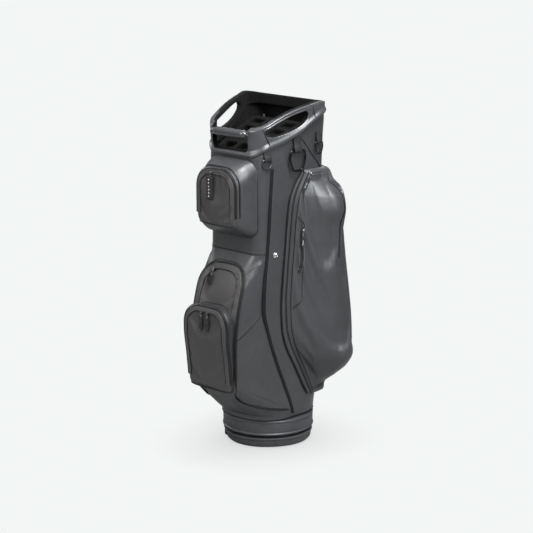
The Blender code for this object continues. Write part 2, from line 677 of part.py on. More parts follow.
def apparel_split(station):
    """The plan curve cut at the rear seam: panel points, then rear wall points."""
    side, arc, rear = apparel_plan(station)
    line = resample(side + arc + rear, 90)
    widest = int(np.argmax([p[0] for p in line]))
    seam = min(SEAM_X, line[widest][0] - 0.004)
    j = next(i for i in range(widest, len(line)) if line[i][0] <= seam)
    share = (line[j - 1][0] - seam) / (line[j - 1][0] - line[j][0])
    cut = line[j - 1] + (line[j] - line[j - 1]) * share
    step = (line[-1] - cut) / np.linalg.norm(line[-1] - cut)
    return (resample(line[:j] + [cut], PANEL_COLS),
            resample([cut + step * SEAM_GAP, line[-1]], REAR_COLS))


def pocket_back(z, front_y):
    """Points round the tube's right rear corner, from the spine side forwards."""
    half = right_half(body_plan(body_level(z, 0.03), BACK_LIFT))[::-1]
    points = [np.array([APPAREL_END_X, half[0][1]])]
    points += [p for p in half if p[0] > APPAREL_END_X + 0.002 and p[1] > front_y + 0.002]
    points.append(np.array(on_side(z, front_y, BACK_LIFT)[:2]))
    return resample(points, BACK_COLS)


def apparel_pocket(sign, tag):
    panel_verts, shell_verts = [], []
    for station in APPAREL:
        z, edge_y = station[:2]
        front, rear = apparel_split(station)
        panel_verts += [(sign * x, y, z) for x, y in front]
        shell_verts += [(sign * x, y, z) for x, y in rear[:-1] + pocket_back(z, edge_y + 0.002)]
    rows = len(APPAREL)
    panel = mesh_object(tag + "_apparel_panel", panel_verts, grid_faces(rows, PANEL_COLS), LEATHER)
    mesh = panel.data
    if mesh.polygons[len(mesh.polygons) // 2].normal.x * sign < 0:
        mesh.flip_normals()
    solidify(panel, SKIN_T)
    shell = mesh_object(tag + "_apparel_shell", shell_verts,
                        grid_faces(rows, len(shell_verts) // rows), LEATHER)
    if sum(p.normal.y for p in shell.data.polygons if p.center.y > 0.12) < 0:
        shell.data.flip_normals()
    solidify(shell, SHELL_T)
    track = [on_side(z, lookup(APPAREL, z) - TRACK_SETBACK, 0.0032) for z in TRACK_Z]
    piping = [on_side(z, y, 0.0028) for z, y in PIPING]
    for part, path, radius in (("_zip_track", track, ZIP_R), ("_piping", piping, 0.0020)):
        cord(tag + part, [(sign * x, y, z) for x, y, z in path], radius, BLACK)


def panel_point(z, share, lift):
    """Point and outward normal on the right panel, a share back from its front edge."""
    side, arc, _ = apparel_plan(apparel_station(z))
    line = side + arc[:1]
    place = share * (len(line) - 1)
    i = min(int(place), len(line) - 2)
    step = line[i + 1] - line[i]
    point = line[i] + step * (place - i)
    normal = Vector((step[1], -step[0], 0.0)).normalized()
    return Vector((point[0], point[1], z)) + normal * lift, normal


def lay_on_panel(ob, z, length, share, lift, sign):
    """Hangs ob at height z with its -Z down the panel and its -Y outwards; sign mirrors."""
    flip = Vector((sign, 1.0, 1.0))
    top, normal = panel_point(z, share, lift)
    foot, _ = panel_point(z - length, share, lift)
    top, foot, normal = top * flip, foot * flip, normal * flip
    z_axis = (top - foot).normalized()
    y_axis = -(normal - z_axis * normal.dot(z_axis)).normalized()
    x_axis = y_axis.cross(z_axis)
    ob.matrix_world = Matrix((x_axis, y_axis, z_axis)).transposed().to_4x4()
    ob.location = top


def panel_zip(tag, z, share, width, length, lift, sign):
    lay_on_panel(slider(tag + "_zip_slider"), z, 0.03, share, lift, sign)
    lay_on_panel(pull(tag + "_zip_pull", width, length, GUN), z - 0.005, length, share,
                 lift + 0.0046, sign)


def apparel_pockets():
    for sign, tag in ((1, "right"), (-1, "left")):
        apparel_pocket(sign, tag)
        panel_zip(tag, z=0.735, share=0.10, width=0.0090, length=0.0400, lift=0.0042, sign=sign)
    panel_zip("valuables", z=0.588, share=VALUABLES_SHARE, width=0.0080, length=0.0360,
              lift=0.0072, sign=1)
    cord("valuables_zip_track", [tuple(panel_point(z, VALUABLES_SHARE, 0.0030)[0])
                                 for z in (0.480, 0.510, 0.540, 0.570, 0.598)], ZIP_R, BLACK)


# ------------------------------------------------------------------ rings, tabs, stud
TAB_GAP = 0.0008             # between a tab and its ring, and between a tab and the skin
RING_CLEARANCE = 0.0024      # between a ring's wire and the skin
# name, tab name, z, Y, wire radius, tab size, right half of the ring (across, up)
HUNG_RINGS = [
    ("towel_ring", "towel_ring_tab", 0.7990, -0.014, 0.0024, (0.026, 0.0050, 0.028),
     [(0.022, 0.0), (0.026, -0.022), (0.015, -0.052)]),
    ("d_ring", "d_ring_tab", 0.7840, -0.108, 0.0017, (0.020, 0.0045, 0.016),
     [(0.012, 0.0), (0.013, -0.012), (0.008, -0.021)]),
    ("rear_d_ring", "rear_ring_tab", 0.8140, 0.058, 0.0017, (0.020, 0.0045, 0.022),
     [(0.012, 0.0), (0.013, -0.014), (0.008, -0.030)]),
]
STUD_Z, STUD_Y, STUD_R, STUD_T = 0.530, -0.075, 0.0052, 0.0036
WEB_TAB_Z = 0.5150


def side_frame(z, y):
    """Point on the right side, outward normal and rearward direction along the side."""
    along = (Vector(on_side(z, y + 0.01)) - Vector(on_side(z, y - 0.01))).normalized()
    return Vector(on_side(z, y)), Vector((along.y, -along.x, 0.0)), along


def stand_out(point, normal, heights, depths):
    """How far the skin stands out past a point, along normal, over a patch."""
    return max((Vector(on_side(z, y)) - point).dot(normal) for z in heights for y in depths)


def hung_ring(name, tab_name, z, y, wire, tab_size, half_shape):
    """A wire ring in the plane of the side, with a web tab above it."""
    point, normal, along = side_frame(z, y)
    half_tab = tab_size[0] / 2
    tab_top = tab_size[2] + wire + TAB_GAP
    low = min(v for _, v in half_shape)
    wide = max(u for u, _ in half_shape)
    tab_base = stand_out(point, normal, (z, z + tab_top / 2, z + tab_top),
                         (y - half_tab, y - half_tab / 2, y, y + half_tab / 2, y + half_tab))
    ring_base = stand_out(point, normal, (z + low, z), (y - wide, y, y + wide))
    centre = point + normal * (max(tab_base, ring_base) + wire + RING_CLEARANCE)
    top_u, top_v = half_shape[0]
    shape = [(-top_u, top_v)] + half_shape + [(-u, v) for u, v in reversed(half_shape[1:])]
    cord(name, [tuple(centre + along * u + Vector((0, 0, v))) for u, v in shape], wire, BLACK,
         cyclic=True)
    tab_centre = (point + normal * (tab_base + tab_size[1] / 2 + TAB_GAP)
                  + Vector((0, 0, tab_size[2] / 2 + wire + TAB_GAP)))
    box(tab_name, tab_size, tuple(tab_centre), BLACK, bevel=WEB_BEVEL,
        rot=(0, 0, math.atan2(along.y, along.x)))


def snap_stud():
    point, normal, _ = side_frame(STUD_Z, STUD_Y)
    cylinder("snap_stud", STUD_R, STUD_T, tuple(point + normal * (STUD_T / 2 + GAP)), METAL,
             segments=20, rot=(0, math.radians(90), math.atan2(normal.y, normal.x)),
             bevel=WEB_BEVEL)


def side_web_tab():
    """Upright tab on the right pocket's rear wall, just behind the seam."""
    _, rear = apparel_split(apparel_station(WEB_TAB_Z))
    inward = (rear[-1] - rear[0]) / np.linalg.norm(rear[-1] - rear[0])
    x, y = rear[0] + inward * 0.015 + np.array([inward[1], -inward[0]]) * 0.0024
    box("side_web_tab", (0.0240, 0.0030, 0.0500), (x, y, WEB_TAB_Z), BLACK, bevel=WEB_BEVEL,
        rot=(0, 0, math.atan2(inward[1], inward[0])))


# ------------------------------------------------------------------ spine and strap
SPINE_Y, SPINE_T = 0.1215, 0.0070
RING_Y = SPINE_Y + 0.0125
STRAP_RING = [               # Y behind RING_Y, z about the ring's middle
    (0.0020, -0.020), (0.0020, 0.020), (0.0100, 0.019),
    (0.0200, 0.010), (0.0200, -0.010), (0.0100, -0.019)]
STRAP_Y = RING_Y + 0.0245    # both ends of the strap
STRAP_TOP, STRAP_DROP, STRAP_BOW = 0.742, 0.464, 0.040
PAD_LIFT = 0.0066            # pad's middle behind the strap's middle


def spine():
    box("spine_panel", (0.1500, SPINE_T, 0.6600), (0, SPINE_Y + SPINE_T / 2, 0.4650), LEATHER,
        bevel=0.0025)
    for tag, z in (("top", 0.745), ("bottom", 0.275)):
        # a web tab on the spine, with the ring's upright bar just behind it
        box("strap_tab_" + tag, (0.0300, 0.0040, 0.0240), (0, SPINE_Y + SPINE_T + 0.0025, z),
            BLACK, bevel=WEB_BEVEL)
        cord("strap_ring_" + tag, [(0, RING_Y + y, z + up) for y, up in STRAP_RING], 0.0020,
             GUN, cyclic=True)


def strap(name, shares, lift, half_width, thick, look):
    """Flat band along shares of the bowed line between the two strap rings."""
    points = [(STRAP_Y + STRAP_BOW * math.sin(math.pi * t) + lift, STRAP_TOP - STRAP_DROP * t)
              for t in shares]
    verts, count = [], len(points)
    for i, (y, z) in enumerate(points):
        before, after = points[max(i - 1, 0)], points[min(i + 1, count - 1)]
        along = np.array([after[0] - before[0], after[1] - before[1]])
        along /= np.linalg.norm(along)
        dy, dz = np.array([-along[1], along[0]]) * thick / 2
        verts += [(-half_width, y + dy, z + dz), (half_width, y + dy, z + dz),
                  (half_width, y - dy, z - dz), (-half_width, y - dy, z - dz)]
    ends = [(3, 2, 1, 0), tuple(4 * (count - 1) + i for i in range(4))]
    mesh_object(name, verts, grid_faces(count, 4, True) + ends, look)


# ------------------------------------------------------------------ the bag
base()
body_shell()
top_cuff()
divider()
front_pockets()
apparel_pockets()
for ring in HUNG_RINGS:
    hung_ring(*ring)
snap_stud()
side_web_tab()
spine()
strap("shoulder_strap", np.linspace(0, 1, 15), 0.0, 0.0190, 0.0026, BLACK)
strap("strap_pad", np.linspace(0.24, 0.76, 9), PAD_LIFT, 0.0300, 0.0090, LEATHER)
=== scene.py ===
"""Looks for a golf cart bag: leatherette skins, moulded collar, zips, webbing and metal.

The bag stands upright on z = 0 round the Z axis. Its front is -Y, "right" is +X, and the
spine pad and shoulder strap are at the back, on +Y. Lengths are in metres.
"""

import math

import bmesh
import bpy
import numpy as np
from mathutils import Matrix, Vector, noise

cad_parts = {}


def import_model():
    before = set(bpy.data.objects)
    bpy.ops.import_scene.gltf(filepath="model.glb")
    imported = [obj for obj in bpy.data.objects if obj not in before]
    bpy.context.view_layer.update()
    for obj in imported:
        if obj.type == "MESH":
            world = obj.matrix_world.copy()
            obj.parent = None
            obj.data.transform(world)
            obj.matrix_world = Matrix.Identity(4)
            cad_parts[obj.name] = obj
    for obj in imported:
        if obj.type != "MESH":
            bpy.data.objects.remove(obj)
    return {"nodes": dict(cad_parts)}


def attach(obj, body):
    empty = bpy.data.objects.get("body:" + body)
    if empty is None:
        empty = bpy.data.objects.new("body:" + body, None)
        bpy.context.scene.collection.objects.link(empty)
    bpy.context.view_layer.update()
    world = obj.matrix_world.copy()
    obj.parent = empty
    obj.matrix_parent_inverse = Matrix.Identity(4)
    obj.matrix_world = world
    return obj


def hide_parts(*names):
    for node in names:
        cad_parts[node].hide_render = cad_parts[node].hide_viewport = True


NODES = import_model()["nodes"]
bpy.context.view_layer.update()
SCENE = bpy.context.scene
SIDES = ((1, "right"), (-1, "left"))

# ------------------------------------------------------------------ driving dimensions
GAP = 0.0005
FOOT_R = 0.1225
SKIN_Z0 = 0.0765      # foot of the tube skin
PLAN_TOP = 0.86       # the plan table's height where the skin meets the collar
WALL_T = 0.0170       # collar wall
WAIST = 0.537         # seam across the front of the tube
DOOR_T = 0.0040
SPINE_Y = 0.1215
RING_Y = SPINE_Y + 0.0125

# Tube plan: z, front half width, front y, rear half width, rear y, front and rear radius
BODY = [
    (0.076, 0.104, -0.1215, 0.110, 0.1180, 0.092, 0.092),
    (0.110, 0.104, -0.1240, 0.113, 0.1170, 0.085, 0.085),
    (0.170, 0.096, -0.1290, 0.118, 0.1130, 0.060, 0.062),
    (0.250, 0.091, -0.1320, 0.120, 0.1090, 0.036, 0.048),
    (0.350, 0.090, -0.1320, 0.119, 0.1070, 0.030, 0.044),
    (0.550, 0.090, -0.1320, 0.118, 0.1060, 0.030, 0.042),
    (0.740, 0.090, -0.1330, 0.124, 0.1050, 0.030, 0.040),
    (0.900, 0.091, -0.1350, 0.142, 0.0980, 0.030, 0.038),
]
CUFF = (0.0925, -0.1370, 0.1490, 0.0930, 0.044, 0.040)   # collar plan, as BODY without z
# Collar's lower and upper edge: y, z
CUFF_BOTTOM = [(-0.140, 0.784), (-0.115, 0.804), (-0.060, 0.822), (-0.010, 0.843),
               (0.030, 0.870), (0.060, 0.886), (0.100, 0.892)]
CUFF_TOP = [(-0.140, 0.858), (-0.118, 0.869), (-0.075, 0.889), (-0.035, 0.904),
            (0.010, 0.915), (0.050, 0.923), (0.075, 0.920), (0.100, 0.911)]
# Opening in each side of the collar: y, z
SIDE_WINDOW = [(-0.112, 0.8460), (-0.092, 0.8385), (-0.058, 0.8450), (-0.025, 0.8545),
               (0.000, 0.8670), (0.012, 0.8790), (0.016, 0.8900), (0.010, 0.9015),
               (-0.016, 0.8990), (-0.050, 0.8865), (-0.085, 0.8725), (-0.114, 0.8610)]

# Front pockets' arched outlines: half width, bottom z, top z, top radius, bottom radius
UPPER = (0.0675, 0.6130, 0.7600, 0.050, 0.022)
LOWER = (0.0775, 0.1780, 0.5070, 0.060, 0.022)
OUTER = (0.0760, 0.1810, 0.4030, 0.052, 0.016)
UPPER_Y = -0.1925
# Plane of the lower and outer door: z, y
LOWER_Y = [(0.178, -0.2070), (0.300, -0.2085), (0.370, -0.2010), (0.430, -0.1870),
           (0.475, -0.1700), (0.505, -0.1520)]
OUTER_Y = [(0.184, -0.2180), (0.260, -0.2260), (0.340, -0.2350), (0.380, -0.2350),
           (0.404, -0.2300)]

# Apparel pocket: z, front edge y, outer corner x, outer corner y
APPAREL = [
    (0.136, 0.049, 0.1085, 0.1275), (0.150, 0.041, 0.1105, 0.1275),
    (0.165, 0.034, 0.1270, 0.1300), (0.190, 0.022, 0.2120, 0.1345),
    (0.215, 0.010, 0.2740, 0.1390), (0.245, -0.006, 0.2960, 0.1410),
    (0.280, -0.022, 0.2780, 0.1410), (0.330, -0.034, 0.2600, 0.1400),
    (0.400, -0.037, 0.2450, 0.1390), (0.480, -0.031, 0.2340, 0.1380),
    (0.545, -0.025, 0.2260, 0.1370), (0.595, -0.021, 0.2250, 0.1360),
    (0.640, -0.016, 0.2480, 0.1340), (0.675, -0.009, 0.2360, 0.1280),
    (0.700, 0.001, 0.2000, 0.1220), (0.722, 0.012, 0.1590, 0.1185),
    (0.740, 0.021, 0.1290, 0.1185),
]
APPAREL_LIFT, CORNER_R, SEAM_X = 0.0108, 0.038, 0.1500
# Piping down each side of the tube: z, y
PIPING = [(0.090, -0.0200), (0.120, -0.0310), (0.175, -0.0510), (0.248, -0.0790),
          (0.314, -0.1010), (0.389, -0.1180), (0.459, -0.1150), (0.523, -0.1080),
          (0.600, -0.1010), (0.690, -0.0960), (0.760, -0.0920)]
# Dark line in front of the apparel pocket's zip: z, y
FORE = [(0.128, 0.036), (0.152, 0.022), (0.219, -0.012), (0.277, -0.041), (0.321, -0.053),
        (0.380, -0.057), (0.469, -0.051), (0.545, -0.044), (0.606, -0.039), (0.666, -0.032),
        (0.709, -0.014), (0.742, 0.011)]
# Seam on each rear shoulder: z, y
YOKE = [(0.700, 0.100), (0.743, 0.076), (0.777, 0.046), (0.810, 0.019), (0.832, -0.002)]


# ------------------------------------------------------------------ tables and plans
curve_cache, plan_cache, ring_cache = {}, {}, {}


def curve(table, z, column=1):
    """Monotone cubic through one column of a table, held at its ends."""
    key = (id(table), column)
    if key not in curve_cache:
        knots = np.array([row[0] for row in table], float)
        values = np.array([row[column] for row in table], float)
        step = np.diff(knots)
        rise = np.diff(values) / step
        slope = np.zeros_like(values)
        slope[0], slope[-1] = rise[0], rise[-1]
        for i in range(1, len(knots) - 1):
            if rise[i - 1] * rise[i] > 0:
                wa, wb = 2 * step[i] + step[i - 1], step[i] + 2 * step[i - 1]
                slope[i] = (wa + wb) / (wa / rise[i - 1] + wb / rise[i])
        curve_cache[key] = (knots, values, slope)
    knots, values, slope = curve_cache[key]
    z = min(max(z, knots[0]), knots[-1])
    i = min(int(np.searchsorted(knots, z, side="right")) - 1, len(knots) - 2)
    step = knots[i + 1] - knots[i]
    t = (z - knots[i]) / step
    return float(values[i] * (2 * t ** 3 - 3 * t * t + 1)
                 + step * slope[i] * (t ** 3 - 2 * t * t + t)
                 + values[i + 1] * (3 * t * t - 2 * t ** 3)
                 + step * slope[i + 1] * (t ** 3 - t * t))


def linear(table, z, column=1):
    return float(np.interp(z, [row[0] for row in table], [row[column] for row in table]))


def upper_y(z):
    return UPPER_Y


def lower_y(z):
    return curve(LOWER_Y, z)


def outer_y(z):
    return curve(OUTER_Y, z)


def unit(vector):
    return vector / np.linalg.norm(vector)


def fillet(before, corner, after, radius, steps, share=0.92):
    """Arc that rounds a corner, using at most `share` of either arm."""
    before, corner, after = (np.array(p, float) for p in (before, corner, after))
    arm_a, arm_b = before - corner, after - corner
    len_a, len_b = np.linalg.norm(arm_a), np.linalg.norm(arm_b)
    arm_a, arm_b = arm_a / len_a, arm_b / len_b
    half = math.acos(max(-1.0, min(1.0, float(arm_a @ arm_b)))) / 2
    cut = min(radius / math.tan(half), share * len_a, share * len_b)
    radius = cut * math.tan(half)
    centre = corner + unit(arm_a + arm_b) * radius / math.sin(half)
    start, end = (math.atan2(*(corner + arm * cut - centre)[::-1]) for arm in (arm_a, arm_b))
    turn = (end - start + math.pi) % (2 * math.pi) - math.pi
    angles = [start + turn * k / steps for k in range(steps + 1)]
    return [centre + radius * np.array([math.cos(a), math.sin(a)]) for a in angles]


def half_outline(front_w, front_y_, rear_w, rear_y, front_r, rear_r, offset=0.0,
                 n_front=10, n_arc=12, n_side=34, n_rear=8):
    """Half of a plan outline, from the front centre round by +X to the rear centre."""
    normal = unit(np.array([rear_y - front_y_, front_w - rear_w]))
    grow, skew = offset / normal[0], normal[1] / normal[0]
    front = (front_w + grow + skew * offset, front_y_ - offset)
    rear = (rear_w + grow - skew * offset, rear_y + offset)
    arc_a = fillet((0, front[1]), front, rear, max(front_r + offset, 0.004), n_arc)
    arc_b = fillet(front, rear, (0, rear[1]), max(rear_r + offset, 0.004), n_arc)
    points = [np.array([arc_a[0][0] * i / n_front, front[1]]) for i in range(n_front)] + arc_a
    points += [arc_a[-1] + (arc_b[0] - arc_a[-1]) * i / n_side for i in range(1, n_side)] + arc_b
    end = np.array([0, rear[1]])
    points += [arc_b[-1] + (end - arc_b[-1]) * i / n_rear for i in range(1, n_rear + 1)]
    return np.array(points)


def whole(half):
    """Closes a half outline with its mirror image in x."""
    mirror = np.ones(half.shape[1])
    mirror[0] = -1
    return np.vstack([half, half[1:-1][::-1] * mirror])


def body_half(z, offset=0.0):
    key = (round(z, 4), round(offset, 5))
    if key not in plan_cache:
        plan = [curve(BODY, key[0], column) for column in range(1, 7)]
        plan_cache[key] = half_outline(*plan, offset=key[1])
    return plan_cache[key]


def plan_height(z, y):
    """Height in the plan table of a point at world height z; the skin's top edge slopes."""
    return SKIN_Z0 + (z - SKIN_Z0) * (PLAN_TOP - SKIN_Z0) / (curve(CUFF_BOTTOM, y) - SKIN_Z0)


def ring_at(z, offset=0.0):
    """Right half of the tube at world height z, front centre to rear centre."""
    key = (round(z, 4), round(offset, 5))
    if key not in ring_cache:
        points = []
        for i in range(len(body_half(0.5))):
            y = body_half(min(z, PLAN_TOP), offset)[i][1]
            for _ in range(3):
                y = body_half(plan_height(z, y), offset)[i][1]
            points.append(body_half(plan_height(z, y), offset)[i])
        ring_cache[key] = np.array(points)
    return ring_cache[key]


def outline_x(outline, y):
    """Half width of a half outline where its side crosses y."""
    side = outline[int(np.argmin(outline[:, 1] - 1e-9 * outline[:, 0])):]
    for a, b in zip(side[:-1], side[1:]):
        if a[1] <= y <= b[1] and b[1] > a[1]:
            return float(a[0] + (b[0] - a[0]) * (y - a[1]) / (b[1] - a[1]))
    return float(side[-1][0])


def side_x(z, y, offset=0.0):
    return outline_x(ring_at(z, offset), y)


def front_y(z, x, offset=0.0):
    """Y of the tube's front at height z and half width x."""
    ring = ring_at(z, offset)
    k = int(np.argmax(ring[:, 0] > abs(x) + 1e-6))
    a, b = ring[max(k - 1, 0)], ring[k]
    t = (abs(x) - a[0]) / max(b[0] - a[0], 1e-6)
    return float(a[1] + (b[1] - a[1]) * min(max(t, 0), 1))


def on_side(z, y, offset=0.0):
    return np.array([side_x(z, y, offset), y, z])


def side_normal(z, y):
    along_y = on_side(z, y + 0.006) - on_side(z, y - 0.006)
    return unit(np.array([along_y[1], -along_y[0], 0.0]))


def side_path(table, z0, z1, count, offset, shift=0.0):
    """Follows a z, y table over the tube's right side, moved back by `shift`."""
    return np.array([on_side(z, curve(table, z) + shift, offset)
                     for z in np.linspace(z0, z1, count)])


def side_normals(path):
    return np.array([side_normal(p[2], p[1]) for p in path])


def first_beyond(ring, y, x):
    """Index of the first ring point behind y and further out than x."""
    return int(np.argmax((ring[:, 1] > y) & (ring[:, 0] > x)))


# ------------------------------------------------------------------ paths
def run_lengths(path):
    return np.linalg.norm(np.diff(np.array(path, float), axis=0), axis=1)


def along(path, values, count):
    """Values at a path's points (or one for all), read at even steps of its length."""
    values = np.array(values, float)
    if values.ndim == 1:
        return np.tile(values, (count, 1))
    run = np.concatenate([[0], np.cumsum(run_lengths(path))])
    steps = np.linspace(0, run[-1], count)
    return np.stack([np.interp(steps, run, column) for column in values.T], 1)


def resample(path, count):
    return along(path, path, count)


def resample_loop(path, count):
    return resample(np.vstack([path, path[:1]]), count + 1)[:-1]


def soften(path, times=2, cyclic=False):
    """Cuts the corners of a path."""
    path = np.array(path, float)
    for _ in range(times):
        here, after = (path, np.roll(path, -1, 0)) if cyclic else (path[:-1], path[1:])
        cut = np.empty((len(here) * 2, path.shape[1]))
        cut[0::2], cut[1::2] = here * 0.75 + after * 0.25, here * 0.25 + after * 0.75
        path = cut if cyclic else np.vstack([path[:1], cut, path[-1:]])
    return path


def smooth(path, times):
    for _ in range(times):
        path[1:-1] = (path[:-2] + 2 * path[1:-1] + path[2:]) / 4
    return path


def bell(distance, width):
    return math.exp(-(distance / width) ** 2)


def ease(t):
    t = min(max(t, 0.0), 1.0)
    return t * t * (3 - 2 * t)


def rumple(point, scale, height, seed=0.0):
    x, y, z = (value * scale for value in point)
    return height * noise.noise(Vector((x + seed, y - seed, z + 2 * seed)))


# ------------------------------------------------------------------ shader tools
def tint(rgb, factor, add=0.0):
    return tuple(min(1.0, c * factor + add) for c in rgb)


class Shader:
    """Builds the node tree of a material or a world."""

    def __init__(self, owner):
        owner.use_nodes = True
        self.owner = owner
        self.tree = owner.node_tree

    def feed(self, socket, value):
        if isinstance(value, bpy.types.NodeSocket):
            self.tree.links.new(value, socket)
        elif socket.type == "RGBA":
            socket.default_value = (*value, 1.0)
        else:
            socket.default_value = value

    def fill(self, node, inputs):
        for name, value in inputs.items():
            self.feed(node.inputs[name.replace("_", " ")], value)

    def node(self, kind, **inputs):
        node = self.tree.nodes.new("ShaderNode" + kind)
        self.fill(node, inputs)
        return node

    def surface(self, **inputs):
        self.fill(self.tree.nodes["Principled BSDF"], inputs)

    def coord(self, scale=(1, 1, 1)):
        source = self.node("TexCoord").outputs["Object"]
        return self.node("Mapping", Scale=scale, Vector=source).outputs["Vector"]

    def noise(self, vector, scale, detail=3.0, rough=0.5):
        return self.node("TexNoise", Vector=vector, Scale=scale, Detail=detail,
                         Roughness=rough).outputs["Fac"]

    def cells(self, vector, scale):
        node = self.node("TexVoronoi")
        node.feature = "SMOOTH_F1"
        self.fill(node, {"Vector": vector, "Scale": scale})
        return node.outputs["Distance"]

    def wave(self, vector, scale, axis, distortion=0.0):
        node = self.node("TexWave", Vector=vector, Scale=scale, Distortion=distortion)
        node.bands_direction = axis
        return node.outputs["Fac"]

    def maths(self, operation, a, b):
        node = self.node("Math")
        node.operation = operation
        self.feed(node.inputs[0], a)
        self.feed(node.inputs[1], b)
        return node.outputs[0]

    def weigh(self, a, share_a, b, share_b):
        return self.maths("ADD", self.maths("MULTIPLY", a, share_a),
                          self.maths("MULTIPLY", b, share_b))

    def remap(self, value, span, to=(0.0, 1.0)):
        return self.node("MapRange", Value=value, From_Min=span[0], From_Max=span[1],
                         To_Min=to[0], To_Max=to[1]).outputs["Result"]

    def mix(self, factor, a, b):
        node = self.node("Mix")
        node.data_type = "RGBA"
        for index, value in ((0, factor), (6, a), (7, b)):
            self.feed(node.inputs[index], value)
        return node.outputs[2]

    def mottle(self, value, dark, light, span=(0.3, 0.7)):
        return self.mix(self.remap(value, span), dark, light)

    def worn(self, base, edge):
        """Edges rub lighter."""
        pointiness = self.node("NewGeometry").outputs["Pointiness"]
        return self.mix(self.remap(pointiness, span=(0.515, 0.60), to=(0.0, 0.55)), base, edge)

    def bump(self, height, distance, strength, under=None):
        node = self.node("Bump", Strength=strength, Distance=distance, Height=height)
        if under is not None:
            self.feed(node.inputs["Normal"], under)
        return node.outputs["Normal"]


def new_shader(name):
    return Shader(bpy.data.materials.new(name))


# ------------------------------------------------------------------ materials
def leather(name, dark, light, rough, grain=760.0, coat=0.10, crease=0.00030, spec=0.5):
    """Leatherette: clouded colour, dark grain valleys, pores and soft creases."""
    s = new_shader(name)
    place = s.coord()
    cells = s.cells(place, grain)
    pores = s.noise(place, grain * 0.42, detail=2.0)
    cloud = s.noise(place, scale=7.0, detail=4.0, rough=0.55)
    fine = s.noise(place, scale=60.0, detail=3.0, rough=0.6)
    colour = s.mottle(s.weigh(cloud, 0.65, fine, 0.35), dark, light, span=(0.34, 0.66))
    valley = s.remap(cells, span=(0.15, 0.75), to=(0.0, 0.42))
    colour = s.mix(valley, colour, tint(dark, 0.45))
    colour = s.worn(colour, tint(light, 1.7))
    gloss = s.remap(s.weigh(fine, 0.6, cells, 0.4), span=(0.25, 0.75),
                    to=(rough - 0.07, rough + 0.09))
    relief = s.bump(cells, distance=0.00022, strength=0.8)
    relief = s.bump(pores, distance=0.00018, strength=0.6, under=relief)
    folds = s.noise(place, scale=34.0, detail=5.0, rough=0.62)
    relief = s.bump(folds, distance=crease, strength=0.7, under=relief)
    s.surface(Base_Color=colour, Roughness=gloss, Coat_Weight=coat, Coat_Roughness=0.38,
              Specular_IOR_Level=spec, Normal=relief, Coat_Normal=relief)
    return s.owner


def woven(name, rgb, thread_rate, rough, lift, sheen=0.25):
    """Crossing sets of threads; thread_rate is in radians for each metre."""
    s = new_shader(name)
    place = s.coord()
    scale = thread_rate / 6.283
    warp = s.wave(place, scale, "Z")
    weft_x = s.wave(place, scale * 0.8, "X", distortion=0.4)
    weft_y = s.wave(place, scale * 0.8, "Y", distortion=0.4)
    height = s.maths("MAXIMUM", s.maths("MULTIPLY", warp, 0.9),
                     s.maths("MULTIPLY", s.maths("ADD", weft_x, weft_y), 0.5))
    cloud = s.noise(place, scale=40.0, detail=4.0)
    colour = s.mottle(cloud, tint(rgb, 0.75), tint(rgb, 1.3))
    between = s.remap(height, span=(0.1, 0.9), to=(0.55, 0.0))
    colour = s.mix(between, colour, tint(rgb, 0.3))
    s.surface(Base_Color=s.worn(colour, tint(rgb, 2.0)),
              Roughness=s.remap(cloud, span=(0.3, 0.7), to=(rough - 0.08, rough + 0.08)),
              Sheen_Weight=sheen, Normal=s.bump(height, distance=lift, strength=0.9))
    return s.owner


def moulded(name, dark, light, rough, stipple=1500.0, coat=0.2, lift=0.00007):
    """Moulded plastic: clouded colour, upright scuffs and a fine stipple."""
    s = new_shader(name)
    place = s.coord()
    cloud = s.noise(place, scale=14.0, detail=4.0, rough=0.6)
    dots = s.noise(place, scale=stipple, detail=2.0)
    scuff = s.noise(s.coord((30, 30, 260)), scale=1.0, detail=5.0, rough=0.7)
    colour = s.worn(s.mottle(cloud, dark, light), tint(light, 1.9))
    gloss = s.remap(s.weigh(cloud, 0.5, scuff, 0.5), span=(0.3, 0.7),
                    to=(rough - 0.06, rough + 0.10))
    relief = s.bump(dots, distance=lift, strength=0.7)
    waves = s.noise(place, scale=90.0, detail=3.0)
    relief = s.bump(waves, distance=0.00010, strength=0.5, under=relief)
    s.surface(Base_Color=colour, Roughness=gloss, Coat_Weight=coat, Coat_Roughness=0.22,
              Normal=relief)
    return s.owner


def pile(name, dark, light):
    """Short brushed fleece."""
    s = new_shader(name)
    place = s.coord()
    tuft = s.noise(place, scale=900.0, detail=4.0, rough=0.7)
    clump = s.noise(place, scale=130.0, detail=4.0, rough=0.6)
    cloud = s.noise(place, scale=18.0, detail=3.0)
    tone = s.weigh(clump, 0.6, cloud, 0.4)
    s.surface(Roughness=0.95)
    relief = s.bump(tuft, distance=0.0006, strength=0.9)
    relief = s.bump(clump, distance=0.0014, strength=0.8, under=relief)
    s.surface(Base_Color=s.mottle(tone, dark, light, span=(0.35, 0.65)),
              Roughness=s.remap(tuft, span=(0.2, 0.8), to=(0.85, 1.0)),
              Sheen_Weight=0.03, Sheen_Roughness=0.4, Specular_IOR_Level=0.15, Normal=relief)
    return s.owner


def metal(name, rgb, rough):
    s = new_shader(name)
    place = s.coord()
    scratch = s.noise(s.coord((900, 900, 60)), scale=1.0, detail=3.0, rough=0.6)
    cloud = s.noise(place, scale=120.0, detail=3.0)
    colour = s.worn(s.mottle(cloud, tint(rgb, 0.8), rgb), tint(rgb, 1.4, add=0.05))
    s.surface(Base_Color=colour, Metallic=1.0,
              Roughness=s.remap(scratch, span=(0.3, 0.7), to=(rough * 0.7, rough * 1.5)),
              Normal=s.bump(scratch, distance=0.00003, strength=0.5))
    return s.owner


